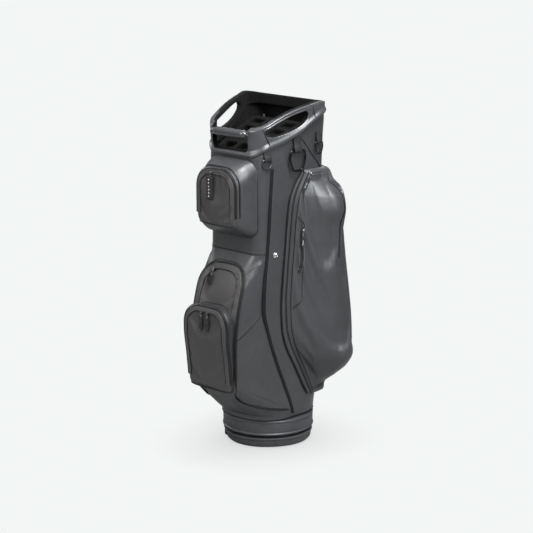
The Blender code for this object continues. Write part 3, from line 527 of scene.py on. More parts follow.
def ripstop(name, rgb):
    """Thin lining with a raised square grid."""
    s = new_shader(name)
    place = s.coord()
    grid_scale = 100.00318
    lines = None
    for axis in "XYZ":
        line = s.remap(s.wave(place, grid_scale, axis), span=(0.86, 1.0))
        lines = line if lines is None else s.maths("MAXIMUM", lines, line)
    weave = s.maths("MULTIPLY", s.wave(place, 260.0, "Z"), s.wave(place, 260.0, "X"))
    cloud = s.noise(place, scale=25.0, detail=4.0)
    colour = s.mottle(cloud, tint(rgb, 0.8), tint(rgb, 1.2))
    colour = s.mix(s.maths("MULTIPLY", lines, 0.6), colour, tint(rgb, 2.2))
    relief = s.bump(weave, distance=0.00008, strength=0.6)
    relief = s.bump(lines, distance=0.00025, strength=0.8, under=relief)
    folds = s.noise(place, scale=22.0, detail=4.0)
    relief = s.bump(folds, distance=0.0015, strength=0.5, under=relief)
    s.surface(Base_Color=colour, Roughness=s.remap(cloud, span=(0.3, 0.7), to=(0.5, 0.68)),
              Sheen_Weight=0.3, Normal=relief)
    return s.owner


LEATHER = leather("leatherette_charcoal", dark=(0.0335, 0.0342, 0.0364),
                  light=(0.0480, 0.0492, 0.0524), rough=0.36)
# Darker copy of the charcoal leatherette, used on the outer pocket's gusset: painted shade, the
# gusset darkened to stand in for the shadow it lies in.
LEATHER_PAINTED_SHADE = leather("leatherette_painted_shade", dark=(0.014, 0.0142, 0.0152),
               light=(0.022, 0.0225, 0.0242), rough=0.42, coat=0.05)
SMOOTH = leather("leatherette_smooth", dark=(0.050, 0.052, 0.056),
                 light=(0.066, 0.069, 0.075), rough=0.36, coat=0.25, crease=0.00015)
FACE = leather("leatherette_warm_face", dark=(0.036, 0.0340, 0.0338),
               light=(0.048, 0.0455, 0.0452), rough=0.48, grain=980.0, coat=0.05)
DEEP = leather("leatherette_black", dark=(0.0030, 0.0030, 0.0034),
               light=(0.0065, 0.0065, 0.0070), rough=0.50, coat=0.0, spec=0.30)
COLLAR = moulded("moulded_collar", dark=(0.034, 0.035, 0.038),
                 light=(0.048, 0.0495, 0.0535), rough=0.30, coat=0.45)
RAIL = moulded("moulded_rail", dark=(0.030, 0.031, 0.033), light=(0.044, 0.045, 0.048),
               rough=0.20, coat=0.7)
FOOT = moulded("moulded_foot", dark=(0.026, 0.027, 0.029), light=(0.042, 0.043, 0.046),
               rough=0.46, stipple=620.0, coat=0.05, lift=0.0003)
BASE = moulded("moulded_base_band", dark=(0.030, 0.031, 0.034), light=(0.043, 0.045, 0.049),
               rough=0.42, stipple=1100.0, coat=0.08, lift=0.0001)
RUBBER = moulded("gasket_rubber", dark=(0.0040, 0.0040, 0.0044),
                 light=(0.0085, 0.0085, 0.0090), rough=0.60, coat=0.0)
PLASTIC = moulded("black_acetal", dark=(0.0050, 0.0050, 0.0054),
                  light=(0.0100, 0.0100, 0.0108), rough=0.22, coat=0.4)
COIL = moulded("nylon_coil", dark=(0.0030, 0.0030, 0.0032), light=(0.0060, 0.0060, 0.0064),
               rough=0.36, coat=0.05)
ROD = moulded("stay_rod", dark=(0.020, 0.020, 0.022), light=(0.035, 0.035, 0.038), rough=0.30)
BOARD = moulded("base_board", dark=(0.020, 0.017, 0.014), light=(0.034, 0.030, 0.026),
                rough=0.75, coat=0.0, stipple=300.0, lift=0.0005)
WEB = woven("webbing_black", (0.0039, 0.0039, 0.0041), thread_rate=1500.0, rough=0.62,
            lift=0.00030, sheen=0.04)
TAPE = woven("zip_tape_black", (0.0035, 0.0035, 0.0038), thread_rate=2600.0, rough=0.72,
             lift=0.00012, sheen=0.02)
LINING = ripstop("lining_grey", (0.030, 0.031, 0.034))
FLEECE = pile("fleece_black", dark=(0.0012, 0.0011, 0.0011), light=(0.0040, 0.0036, 0.0036))
THREAD = woven("thread_grey", (0.058, 0.059, 0.062), thread_rate=5200.0, rough=0.60,
               lift=0.00004, sheen=0.05)
DARK_THREAD = woven("thread_black", (0.012, 0.012, 0.013), thread_rate=5200.0, rough=0.60,
                    lift=0.00004)
BRIGHT = metal("bright_metal", (0.80, 0.80, 0.81), rough=0.16)
GUNMETAL = metal("gunmetal", (0.16, 0.16, 0.17), rough=0.26)
BLACK_NICKEL = metal("black_nickel", (0.045, 0.045, 0.048), rough=0.20)
SILVER = metal("brushed_silver", (0.50, 0.51, 0.53), rough=0.30)


# ------------------------------------------------------------------ directions and sections
def facing(direction):
    return lambda grid: np.tile(np.array(direction), grid.shape[:-1] + (1,))


def out_from_axis(y0=0.0):
    """Field pointing level and away from the upright line at y0."""
    return lambda grid: (np.array(grid, float) - [0, y0, 0]) * [1, 1, 0]


def out_from_centre(z0):
    """Field pointing away from the front-to-back line at height z0."""
    return lambda grid: (np.array(grid) - [0, 0, z0]) * [1, 0, 1]


to_front, to_back = facing((0, -1.0, 0)), facing((0, 1.0, 0))


def flip(side):
    return np.array([side, 1, 1])


def grid_normals(grid, wrap=False):
    if wrap:
        across = np.roll(grid, -1, 1) - np.roll(grid, 1, 1)
    else:
        across = np.gradient(grid, axis=1)
    normals = np.cross(across, np.gradient(grid, axis=0))
    length = np.linalg.norm(normals, axis=2, keepdims=True)
    normals = normals / np.maximum(length, 1e-12)
    bad = length[..., 0] < 1e-9
    if bad.any():
        normals[bad] = normals[~bad].mean(0)
    return normals


def outward_normals(grid, away, wrap=False):
    normals = grid_normals(grid, wrap)
    return -normals if (normals * away(grid)).sum() < 0 else normals


def sheet(grid, thick, away, wrap=False):
    """Closed slab under an outer grid: verts, faces, 1 for each inner face, normals."""
    grid = np.array(grid, float)
    normals = outward_normals(grid, away, wrap)
    rows, cols, _ = grid.shape
    back, last = rows * cols, (rows - 1) * cols
    across = cols if wrap else cols - 1
    verts = np.vstack([grid.reshape(-1, 3), (grid - normals * thick).reshape(-1, 3)])
    faces, inner = [], []
    for i in range(rows - 1):
        for j in range(across):
            a, b = i * cols + j, i * cols + (j + 1) % cols
            faces.append((a, b, b + cols, a + cols))
            faces.append((back + a, back + a + cols, back + b + cols, back + b))
            inner += [0, 1]
    for j in range(across):
        a, b = j, (j + 1) % cols
        faces.append((a, back + a, back + b, b))
        a, b = last + a, last + b
        faces.append((a, b, back + b, back + a))
    if not wrap:
        for i in range(rows - 1):
            a, b = i * cols, (i + 1) * cols
            faces.append((a, b, back + b, back + a))
            a, b = a + cols - 1, b + cols - 1
            faces.append((a, back + a, back + b, b))
    return verts, faces, inner + [0] * (len(faces) - len(inner)), normals


def ring_faces(rows, cols, cyclic=False):
    """Faces of stacked rings, capped at both ends unless cyclic."""
    faces = []
    for i in range(rows if cyclic else rows - 1):
        a, b = i * cols, (i + 1) % rows * cols
        faces += [(a + j, a + (j + 1) % cols, b + (j + 1) % cols, b + j) for j in range(cols)]
    if not cyclic:
        faces += [tuple(range(cols - 1, -1, -1)),
                  tuple((rows - 1) * cols + j for j in range(cols))]
    return faces


def circle(radius, count):
    angles = [2 * math.pi * k / count for k in range(count)]
    return np.array([[radius * math.cos(a), radius * math.sin(a)] for a in angles])


def hoop(centre, across, up, radius, count):
    return np.array(centre) + circle(radius, count) @ np.array([across, up])


def rrect(width, height, radius=None, steps=3):
    """Rounded rectangle: width across, height along the normal."""
    r = min(width, height) * 0.45 if radius is None else radius
    x, y = width / 2 - r, height / 2 - r
    points = []
    for cx, cy, start in ((x, -y, -90), (x, y, 0), (-x, y, 90), (-x, -y, 180)):
        for k in range(steps + 1):
            a = math.radians(start + 90 * k / steps)
            points.append([cx + r * math.cos(a), cy + r * math.sin(a)])
    return np.array(points)


def frames(path, normals=None, cyclic=False):
    """Path, tangents, normals and sideways directions; normals are carried if not given."""
    path = np.array(path, float)
    if cyclic:
        tangents = np.roll(path, -1, 0) - np.roll(path, 1, 0)
    else:
        tangents = np.gradient(path, axis=0)
    tangents /= np.maximum(np.linalg.norm(tangents, axis=1, keepdims=True), 1e-12)
    if normals is None:
        out = np.zeros_like(path)
        normal = np.array([0, 0, 1.0]) if abs(tangents[0][2]) < 0.9 else np.array([1.0, 0, 0])
        normal = normal - tangents[0] * (normal @ tangents[0])
        for i, tangent in enumerate(tangents):
            normal = normal - tangent * (normal @ tangent)
            normal /= max(np.linalg.norm(normal), 1e-12)
            out[i] = normal
    else:
        out = np.array(normals, float)
        if out.ndim == 1:
            out = np.tile(out, (len(path), 1))
        out = out - tangents * (out * tangents).sum(1, keepdims=True)
        out /= np.maximum(np.linalg.norm(out, axis=1, keepdims=True), 1e-12)
    return path, tangents, out, np.cross(tangents, out)


def soft_ends(count):
    """Scale that closes a sweep's ends softly."""
    scale = np.ones(count)
    for i, value in ((0, 0.45), (1, 0.85), (count - 1, 0.45), (count - 2, 0.85)):
        scale[i] = value
    return scale


# ------------------------------------------------------------------ mesh gathering
class Parts:
    """Closed shapes gathered into one piece, each with its own material."""

    def __init__(self):
        self.verts, self.faces, self.picks, self.materials = [], [], [], []
        self.count = 0

    def material_index(self, material):
        if material not in self.materials:
            self.materials.append(material)
        return self.materials.index(material)

    def add(self, verts, faces, *materials, pick=None):
        """Adds a shape; `pick` chooses each face's material when there are several."""
        table = [self.material_index(material) for material in materials]
        self.verts.append(np.array(verts, float))
        self.faces += [tuple(int(i) + self.count for i in face) for face in faces]
        self.picks += [table[k] for k in pick] if pick else [table[0]] * len(faces)
        self.count += len(verts)

    def sheet(self, grid, thick, away, outer, inner=None, wrap=False):
        verts, faces, pick, normals = sheet(grid, thick, away, wrap)
        if inner:
            self.add(verts, faces, outer, inner, pick=pick)
        else:
            self.add(verts, faces, outer)
        return normals

    def loft(self, rings, material):
        """Capped solid through equal rings."""
        rings = np.array(rings, float)
        self.add(rings.reshape(-1, 3), ring_faces(*rings.shape[:2]), material)

    def sweep(self, path, section, material, normals=None, cyclic=False, scale=None, lift=0.0):
        path, _, normals, across = frames(path, normals, cyclic)
        scale = np.ones(len(path)) if scale is None else scale
        rings = []
        for i, point in enumerate(path):
            profile = section * scale[i]
            rings.append(point + across[i] * profile[:, :1]
                         + normals[i] * (profile[:, 1:] + lift))
        self.add(np.vstack(rings), ring_faces(len(path), len(section), cyclic), material)

    def cord(self, path, material, radius, sides=8, cyclic=False, count=None):
        path = resample(path, count) if count else np.array(path, float)
        self.sweep(path, circle(radius, sides), material, cyclic=cyclic,
                   scale=None if cyclic else soft_ends(len(path)))

    def stitches(self, path, normals, material=THREAD, pitch=0.0046, length=0.0031,
                 radius=0.00042, lift=0.0002):
        """A run of short raised threads along a path on a surface."""
        count = max(2, int(run_lengths(path).sum() / pitch))
        fine = resample(path, count * 4 + 1)
        normals = along(path, normals, len(fine))
        normals /= np.maximum(np.linalg.norm(normals, axis=1, keepdims=True), 1e-9)
        for k in range(0, count * 4, 4):
            start, end, normal = fine[k], fine[k + 3], normals[k + 1]
            thread = end - start
            if np.linalg.norm(thread) < 1e-6:
                continue
            thread = unit(thread)
            middle = (start + end) / 2 + normal * lift
            across = np.cross(thread, normal)
            # place along the thread, thickness, depth sunk into the surface
            rings = [hoop(middle + thread * t * length - normal * sunk, across, normal,
                          radius * size, 5)
                     for t, size, sunk in ((-0.5, 0.35, 0.0003), (-0.25, 1.0, 0.0),
                                           (0.25, 1.0, 0.0), (0.5, 0.35, 0.0003))]
            self.loft(rings, material)

    def coil(self, path, normals, width=0.0046, height=0.0017, pitch=0.0021, lift=0.0):
        """Zip coil: two rows of small ribs that mesh in the middle."""
        count = max(2, int(run_lengths(path).sum() / pitch))
        path, tangents, normals, across = frames(resample(path, count + 1),
                                                 along(path, normals, count + 1))
        for i in range(count):
            side = 1 if i % 2 else -1
            rings = [hoop(path[i] + across[i] * side * shift * width + normals[i] * lift,
                          tangents[i] * pitch * 0.46, normals[i] * height * 0.5, size, 6)
                     for shift, size in ((-0.22, 0.55), (0.10, 1.0), (0.50, 0.75))]
            self.loft(rings, COIL)

    def block(self, size, centre, axes, material, bevel=0.0006, taper=1.0):
        """A bevelled block in its own axes (x, y, z rows), narrowed at its foot by taper."""
        mesh = bmesh.new()
        bmesh.ops.create_cube(mesh, size=1.0)
        bmesh.ops.scale(mesh, vec=size, verts=mesh.verts)
        for vert in mesh.verts:
            if vert.co.z < 0:
                vert.co.x *= taper
        bmesh.ops.bevel(mesh, geom=list(mesh.edges), offset=bevel, segments=2,
                        affect="EDGES", profile=0.5)
        mesh.verts.index_update()
        verts = [local(centre, axes, vert.co) for vert in mesh.verts]
        faces = [tuple(vert.index for vert in face.verts) for face in mesh.faces]
        mesh.free()
        self.add(verts, faces, material)

    def build(self, name, body=None, slot=None, replaces=(), sharp=40):
        mesh = bpy.data.meshes.new(name)
        verts = [tuple(map(float, vert)) for vert in np.vstack(self.verts)]
        mesh.from_pydata(verts, [], self.faces)
        for material in self.materials:
            mesh.materials.append(material)
        mesh.polygons.foreach_set("material_index", np.array(self.picks, np.int32))
        work = bmesh.new()
        work.from_mesh(mesh)
        bmesh.ops.recalc_face_normals(work, faces=work.faces)
        work.to_mesh(mesh)
        work.free()
        mesh.shade_smooth()
        mesh.set_sharp_from_angle(angle=math.radians(sharp))
        return place(name, mesh, body, slot, replaces)


def place(name, mesh, body=None, slot=None, replaces=()):
    thing = bpy.data.objects.new(name, mesh)
    SCENE.collection.objects.link(thing)
    if body:
        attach(thing, body)
    if replaces:
        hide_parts(*replaces)
    return thing


def local(origin, axes, points):
    return np.array(origin) + np.array(points, float) @ np.array(axes)


def drape(grid, pinned, pressure, cap, steps, shrink, bend, away, gravity=0.0):
    """Cloth simulation of a sheet held at its pinned points; moves at most `cap`."""
    grid = np.array(grid, float)
    rows, cols, _ = grid.shape
    faces = [(i * cols + j, i * cols + j + 1, (i + 1) * cols + j + 1, (i + 1) * cols + j)
             for i in range(rows - 1) for j in range(cols - 1)]
    # faces must look outward for the pressure to push outward
    if (grid_normals(grid) * away(grid)).sum() < 0:
        faces = [face[::-1] for face in faces]
    mesh = bpy.data.meshes.new("cloth_work")
    mesh.from_pydata([tuple(point) for point in grid.reshape(-1, 3)], [], faces)
    mesh.update()
    cloth = place("cloth_work", mesh)
    group = cloth.vertex_groups.new(name="pin")
    group.add([int(i) for i in np.flatnonzero(pinned.reshape(-1))], 1.0, "REPLACE")
    modifier = cloth.modifiers.new("cloth", "CLOTH")
    settings = modifier.settings
    settings.quality = 5
    settings.mass = 0.30
    settings.air_damping = 3.0
    settings.tension_stiffness = settings.compression_stiffness = 15.0
    settings.shear_stiffness = 5.0
    settings.bending_stiffness = bend
    settings.tension_damping = settings.compression_damping = 20.0
    settings.vertex_group_mass = "pin"
    settings.use_pressure = True
    settings.uniform_pressure_force = pressure
    settings.shrink_min = shrink
    settings.effector_weights.gravity = gravity
    modifier.collision_settings.use_collision = False
    modifier.point_cache.frame_start = 1
    modifier.point_cache.frame_end = steps + 2
    for frame in range(1, steps + 1):
        SCENE.frame_set(frame)
    evaluated = cloth.evaluated_get(bpy.context.evaluated_depsgraph_get())
    coords = np.zeros(rows * cols * 3, np.float32)
    evaluated.data.vertices.foreach_get("co", coords)
    moved = coords.reshape(rows, cols, 3).astype(float) - grid
    bpy.data.objects.remove(cloth, do_unlink=True)
    bpy.data.meshes.remove(mesh)
    SCENE.frame_set(1)
    if not np.isfinite(moved).all():
        return grid
    # the same to a hundredth of a millimetre whatever the machine
    moved = np.round(moved, 5)
    length = np.linalg.norm(moved, axis=2, keepdims=True)
    return grid + moved * np.minimum(1.0, cap / np.maximum(length, 1e-9))


def border(rows, cols, width):
    mask = np.zeros((rows, cols), bool)
    mask[:width] = mask[-width:] = True
    mask[:, :width] = mask[:, -width:] = True
    return mask


# ------------------------------------------------------------------ arches
ARCH_TOP, ARCH_SIDE = 6, 15      # points on the flat top and on the straight side


def arch_width(z, arch):
    width, bottom, top, top_r, low_r = arch
    if z > top - top_r:
        return width - top_r + math.sqrt(max(top_r ** 2 - (z - top + top_r) ** 2, 0.0))
    if z < bottom + low_r:
        return width - low_r + math.sqrt(max(low_r ** 2 - (bottom + low_r - z) ** 2, 0.0))
    return width


def grown(arch, offset):
    width, bottom, top, top_r, low_r = arch
    return (width + offset, bottom - offset, top + offset,
            max(top_r + offset, 0.003), max(low_r + offset, 0.003))


def arch_half(arch, offset=0.0, n_arc=12):
    """Right half of the arch from the top centre down to the bottom centre: x, z."""
    width, bottom, top, top_r, low_r = grown(arch, offset)
    angles = np.linspace(0, math.pi / 2, n_arc)
    top_c, low_c = top - top_r, bottom + low_r
    points = [((width - top_r) * k / ARCH_TOP, top) for k in range(ARCH_TOP)]
    points += [(width - top_r + top_r * math.sin(a), top_c + top_r * math.cos(a))
               for a in angles]
    points += [(width, top_c + (low_c - top_c) * k / (ARCH_SIDE + 1))
               for k in range(1, ARCH_SIDE + 1)]
    points += [(width - low_r + low_r * math.cos(a), low_c - low_r * math.sin(a))
               for a in angles]
    points += [((width - low_r) * (1 - k / 6), bottom) for k in range(1, 7)]
    return np.array(points)


def arch_over(arch, offset, foot=0.0):
    """The arch without its lower edge: from the right foot over the top to the left foot."""
    _, bottom, _, _, low_r = grown(arch, offset)
    side = arch_half(arch, offset)[:ARCH_TOP + 12 + ARCH_SIDE]
    side = side[side[:, 1] >= bottom + low_r + foot - 1e-6]
    return np.vstack([side[::-1], side[1:] * [-1, 1]])


def arch_depth(x, z, arch):
    """Distance inside the arch's edge."""
    width, bottom, top, top_r, low_r = arch
    x = abs(x)
    depth = min(width - x, top - z, z - bottom)
    if x > width - top_r and z > top - top_r:
        depth = min(depth, top_r - math.hypot(x - width + top_r, z - top + top_r))
    if x > width - low_r and z < bottom + low_r:
        depth = min(depth, low_r - math.hypot(x - width + low_r, bottom + low_r - z))
    return depth


# ================================================================== base
UP = (0, 0, 1.0)


def foot_plan(scale, count):
    """Twelve-sided plan with softened corners."""
    points = []
    for k in range(12):
        angle = math.radians(30 * k - 97)
        radius = FOOT_R * scale * (1.0 + 0.035 * (k in (0, 1, 3, 4, 6, 7, 9, 10)))
        points.append((radius * math.cos(angle), radius * math.sin(angle)))
    return resample_loop(soften(points, 3, True), count)


def build_foot():
    # tread, chamfer, wall, shoulder, rolled lip, top: plan scale, z
    profile = [(0.84, 0.0012), (0.885, 0.0), (0.915, 0.0012), (0.945, 0.0048),
               (0.962, 0.0085), (0.968, 0.0150), (0.972, 0.0205), (0.980, 0.0218),
               (0.992, 0.0232), (0.997, 0.0250), (0.992, 0.0270), (0.975, 0.0279),
               (0.94, 0.0279)]
    parts = Parts()
    parts.loft([[(*p, z) for p in foot_plan(scale, 180)] for scale, z in profile], FOOT)
    # three upright ribs moulded into the wall at each corner
    for k in range(12):
        for turn in (-0.050, 0.0, 0.050):
            angle = math.radians(30 * k - 97) + turn
            out = np.array([math.cos(angle), math.sin(angle), 0.0])
            across = np.array([-out[1], out[0], 0.0])
            parts.block((0.0022, 0.0060, 0.0125),
                        out * (FOOT_R * 0.958 - 0.0022) + [0, 0, 0.0145],
                        (across, out, UP), FOOT, bevel=0.0005)
    parts.build("foot_boot", "bag", "moulded_foot", ["base_boot"], sharp=32)


def turned(parts, profile, material):
    """Solid of revolution round the Z axis from r, z pairs."""
    parts.loft([hoop((0, 0, z), (1, 0, 0), (0, 1, 0), r, 120) for r, z in profile], material)


def build_gasket():
    parts = Parts()
    turned(parts, [(0.100, 0.0284), (0.1150, 0.0284), (0.1158, 0.0295), (0.1146, 0.0305),
                   (0.1158, 0.0316), (0.1146, 0.0327), (0.1156, 0.0337), (0.100, 0.0341)],
           RUBBER)
    parts.build("foot_gasket", "bag", "gasket", ["base_gasket"])


def build_base_band():
    parts = Parts()
    turned(parts, [(0.100, 0.0346), (0.1180, 0.0346), (0.1200, 0.0352), (0.1222, 0.0372),
                   (0.1226, 0.0400), (0.1214, 0.0414), (0.1208, 0.0422), (0.1211, 0.0432),
                   (0.1213, 0.0560), (0.1212, 0.0672), (0.1206, 0.0682), (0.1205, 0.0692),
                   (0.1214, 0.0702), (0.1222, 0.0722), (0.1218, 0.0745), (0.1206, 0.0757),
                   (0.100, 0.0759)], BASE)
    angles = np.linspace(0, 2 * math.pi, 121)
    out = np.stack([np.cos(angles), np.sin(angles), 0 * angles], 1)
    parts.stitches(out * 0.1213 + [0, 0, 0.0655], out, DARK_THREAD)
    parts.build("base_band", "bag", "moulded_foot", ["base_collar"])


def dress_frame_pieces():
    """Gives the frame's inner pieces that stay as they are their materials."""
    for name, material, slot in (
            ("base_board", BOARD, "board"), ("divider_sleeves", LINING, "lining"),
            ("stay_front_left", ROD, "stay_rod"), ("stay_front_right", ROD, "stay_rod"),
            ("stay_rear_left", ROD, "stay_rod"), ("stay_rear_right", ROD, "stay_rod")):
        NODES[name].data.materials.clear()
        NODES[name].data.materials.append(material)


build_foot()
build_gasket()
build_base_band()
dress_frame_pieces()


# ================================================================== tube
def tube_grid():
    shares = np.unique(np.concatenate([np.linspace(0, 0.10, 14), np.linspace(0.10, 1.0, 92)]))
    grid = np.array([
        [(x, y, SKIN_Z0 + share * (curve(CUFF_BOTTOM, y) - 0.0006 - SKIN_Z0))
         for x, y in whole(body_half(SKIN_Z0 + share * (PLAN_TOP - SKIN_Z0)))]
        for share in shares])
    normals = outward_normals(grid, out_from_axis(), True)
    for i in range(grid.shape[0]):
        for j in range(grid.shape[1]):
            point = grid[i, j]
            # soft hollows, kept away from both ends
            fade = (ease((point[2] - 0.10) / 0.08)
                    * ease((curve(CUFF_BOTTOM, point[1]) - point[2]) / 0.05))
            wave = rumple(point, 9.0, 0.0011, 3.0) + rumple(point, 26.0, 0.0004, 7.0)
            point += normals[i, j] * wave * fade
            # hem at the foot and a light gather under the collar
            gather = bell(curve(CUFF_BOTTOM, point[1]) - point[2] - 0.010, 0.004)
            point -= normals[i, j] * (0.0012 * bell(point[2] - 0.0775, 0.0016)
                                      + 0.0009 * gather)
    return grid


def loop_at(z, offset):
    return np.array([(x, y, z) for x, y in whole(ring_at(z, offset))])


def build_tube_skin():
    parts = Parts()
    verts, faces, inner, _ = sheet(tube_grid(), 0.0030, out_from_axis(), wrap=True)
    # the upper inside is fleece
    pick = [2 if flag and verts[face[0]][2] > 0.66 else flag
            for flag, face in zip(inner, faces)]
    parts.add(verts, faces, LEATHER, LINING, FLEECE, pick=pick)
    # hem cord, and stitching above it
    parts.cord(loop_at(0.0790, 0.0004), DEEP, radius=0.0010, cyclic=True)
    loop = loop_at(0.0845, 0.0)
    step = np.roll(loop, -1, 0) - np.roll(loop, 1, 0)
    normals = np.stack([step[:, 1], -step[:, 0], np.zeros(len(step))], 1)
    normals /= np.linalg.norm(normals, axis=1, keepdims=True)
    if (normals * loop)[:, :2].sum() <= 0:
        normals = -normals
    parts.stitches(loop, normals, lift=0.0003)
    parts.build("tube_skin", "bag", "leatherette", ["body_shell"])


def build_piping(side, tag):
    path = side_path(PIPING, PIPING[0][0], PIPING[-1][0], 120, 0.0026)
    normals = side_normals(path)

    def behind(shift, sink, offset):
        moved = path + np.array([0, shift, 0]) - normals * sink
        moved[:, 0] = [side_x(z, y, offset) for _, y, z in moved]
        return moved * flip(side)

    # The black strip behind the cord is painted shadow: a second dark line that stands in for the
    # piping's shadow on the skin.
    painted_shadow_strip, edge = behind(0.0052, 0.0022, 0.0012), behind(0.0100, 0.0020, 0.0003)
    normals = normals * flip(side)
    parts = Parts()
    parts.cord(path * flip(side), DEEP, radius=0.0026, sides=10)
    parts.sweep(painted_shadow_strip, rrect(0.0050, 0.0010), DEEP, normals, scale=soft_ends(len(painted_shadow_strip)))
    parts.stitches(edge, normals)
    parts.build(tag + "_front_piping", "bag", "zip_tape", [tag + "_piping"])


def build_tube_seams():
    """Waist seam across the front and the seam on each rear shoulder."""
    parts = Parts()
    ring = ring_at(WAIST, 0.0006)
    stop = first_beyond(ring, curve(PIPING, WAIST) - 0.002, 0.06)
    waist = np.vstack([ring[:stop][::-1], ring[1:stop] * [-1, 1]])
    for drop, radius in ((0.0, 0.0011), (0.0052, 0.0008)):
        parts.cord([(x, y, WAIST - drop) for x, y in waist], DEEP, radius=radius)
    path = np.array([(x * 1.002, y - 0.0003, WAIST + 0.0050) for x, y in waist])
    normals = np.stack([np.gradient(path[:, 1]), -np.gradient(path[:, 0]), 0 * path[:, 0]], 1)
    if (normals * path)[:, :2].sum() <= 0:
        normals = -normals
    parts.stitches(path, normals)
    for side, _ in SIDES:
        seam = side_path(YOKE, 0.712, 0.834, 40, 0.0005)
        parts.cord(seam * flip(side), DEEP, radius=0.0011)
        run = side_path(YOKE, 0.716, 0.832, 40, 0.0003, shift=0.0050)
        parts.stitches(run * flip(side), side_normals(seam) * flip(side))
    parts.build("tube_seams", "bag", "leatherette")


build_tube_skin()
for side, tag in SIDES:
    build_piping(side, tag)
build_tube_seams()


# ================================================================== front pocket skins
def nearest(distance, count, soft):
    """Indices of the nearest points and their blending weights."""
    index = np.argsort(distance)[:count]
    weight = 1.0 / (distance[index] + soft) ** 2
    return index, weight / weight.sum()


def with_lip(grid, depth):
    """Adds a last row turned back by `depth`."""
    lip = grid[-1].copy()
    lip[:, 1] += depth
    lip[:, 0] *= 0.985
    return np.concatenate([grid, lip[None]], 0)


def over_top(row, z):
    """Indices of a closed row's points above z, in order across the top."""
    count = len(row)
    return sorted([j for j in range(count) if row[j, 2] > z],
                  key=lambda j: (j + count // 2) % count)


def lower_skin_grid(steps):
    """Skin from the tube's piping, waist and foot forward to the lower door's outline."""
    lift, top_z, side_z, foot_z = 0.0012, WAIST - 0.0035, 0.101, 0.092
    counts = (26, 60, 34)      # points along the top, side and foot
    ring = ring_at(top_z, lift)
    stop = first_beyond(ring, curve(PIPING, WAIST) - 0.004, 0.06)
    top = [(x, y, top_z) for x, y in ring[:stop]]
    side = side_path(PIPING, WAIST - 0.004, side_z, 80, lift, shift=-0.0022)
    foot = [on_side(side_z - (side_z - foot_z) * ease(t * 1.3), y, lift)
            for t, y in zip(np.linspace(0, 1, 26), np.linspace(side[-1][1], -0.104, 26))]
    ring = ring_at(foot_z, lift)
    foot += [(x, y, foot_z) for x, y in ring[:first_beyond(ring, -0.106, 0.05)][::-1]]
    arch = np.array([(x, lower_y(z), z) for x, z in arch_half(LOWER, n_arc=16)])
    top_end, side_end = ARCH_TOP + 9, ARCH_TOP + 16 + ARCH_SIDE
    door = (arch[:top_end + 1], arch[top_end:side_end + 1], arch[side_end:])

    def joined(runs):
        pieces = [resample(run, count) for run, count in zip(runs, counts)]
        return whole(np.vstack([pieces[0], pieces[1][1:], pieces[2][1:]]))

    outer, inner = joined((top, side, foot)), joined(door)
    swell = np.repeat((-0.0015, 0.0050, 0.0035), (counts[0], counts[1] - 1, counts[2] - 1))
    swell = np.concatenate([swell, swell[1:-1][::-1]])
    shares = [r / steps for r in range(steps + 1)]
    grid = np.array([outer * (1 - t) + inner * t for t in shares])
    normals = outward_normals(grid, out_from_axis(-0.10), True)
    for r, t in enumerate(shares):
        wave = math.sin(math.pi * t)
        for j in range(len(outer)):
            point = grid[r, j]
            height = swell[j] * wave ** 0.8 if wave > 0 else 0.0
            height += wave * (rumple(point, 15.0, 0.0022, 5.0)
                              + rumple(point, 42.0, 0.0006, 9.0))
            # the edge rolls in where it meets the zip
            height -= 0.0012 * bell(t - 1.0, 0.05)
            grid[r, j] = point + normals[r, j] * height
    return grid


def build_lower_skin():
    # seams down each side: y, z
    curb = [(-0.211, 0.314), (-0.210, 0.262), (-0.207, 0.212), (-0.196, 0.166),
            (-0.163, 0.139), (-0.109, 0.119), (-0.070, 0.110), (-0.036, 0.104)]
    diagonal = [(-0.211, 0.314), (-0.171, 0.343), (-0.133, 0.371), (-0.121, 0.381)]
    last = 30
    grid = lower_skin_grid(last)
    away = out_from_axis(-0.10)
    normals = outward_normals(grid, away, True)
    parts = Parts()
    parts.sheet(with_lip(grid, 0.0080), 0.0022, away, LEATHER, LINING, wrap=True)
    # ridge just outside the zip, and its stitching
    rim = over_top(grid[last], 0.318)
    parts.cord(grid[last - 1, rim] + normals[last - 1, rim] * 0.0008, SMOOTH,
               radius=0.0016, count=160)
    parts.stitches(grid[last - 6, rim] + normals[last - 6, rim] * 0.0001,
                   normals[last - 6, rim])
    flat, flat_normals = grid.reshape(-1, 3), normals.reshape(-1, 3)

    def snap(y, z, lift):
        """Point and normal on the skin's right side nearest to y, z."""
        distance = np.hypot(flat[:, 1] - y, flat[:, 2] - z) + (flat[:, 0] < 0.03) * 9.0
        index, weight = nearest(distance, 6, 0.0008)
        normal = unit((flat_normals[index] * weight[:, None]).sum(0))
        return (flat[index] * weight[:, None]).sum(0) + normal * lift, normal

    for side, _ in SIDES:
        for table, radius, lift in ((curb, 0.0027, 0.0020), (diagonal, 0.0013, 0.0005)):
            found = np.array([snap(y, z, lift) for y, z in resample(soften(table), 46)])
            path, out = found[:, 0] * flip(side), found[:, 1] * flip(side)
            smooth(path, 12)
            parts.cord(path, DEEP, radius=radius)
            across = np.cross(np.gradient(path, axis=0), out)
            across /= np.maximum(np.linalg.norm(across, axis=1, keepdims=True), 1e-9)
            if across[len(across) // 2] @ np.array([0, 0.3, 1.0]) <= 0:
                across = -across
            run = path + across * 0.0055 - out * (lift - 0.0002)
            parts.stitches(run[2:-2], out[2:-2])
    parts.build("lower_pocket_skin", "bag", "leatherette", ["lower_pocket_shell"])


def build_pocket_lining(tag, z0, z1, half_width):
    """Lining over the tube inside a front pocket."""
    grid = [[(x, front_y(z, x, 0.0022) + rumple((x, 0, z), 30, 0.0006), z)
             for x in np.linspace(-half_width, half_width, 20)]
            for z in np.linspace(z0, z1, 26)]
    parts = Parts()
    parts.sheet(grid, 0.0010, to_front, LINING)
    parts.build(tag + "_pocket_lining", "bag", "lining")


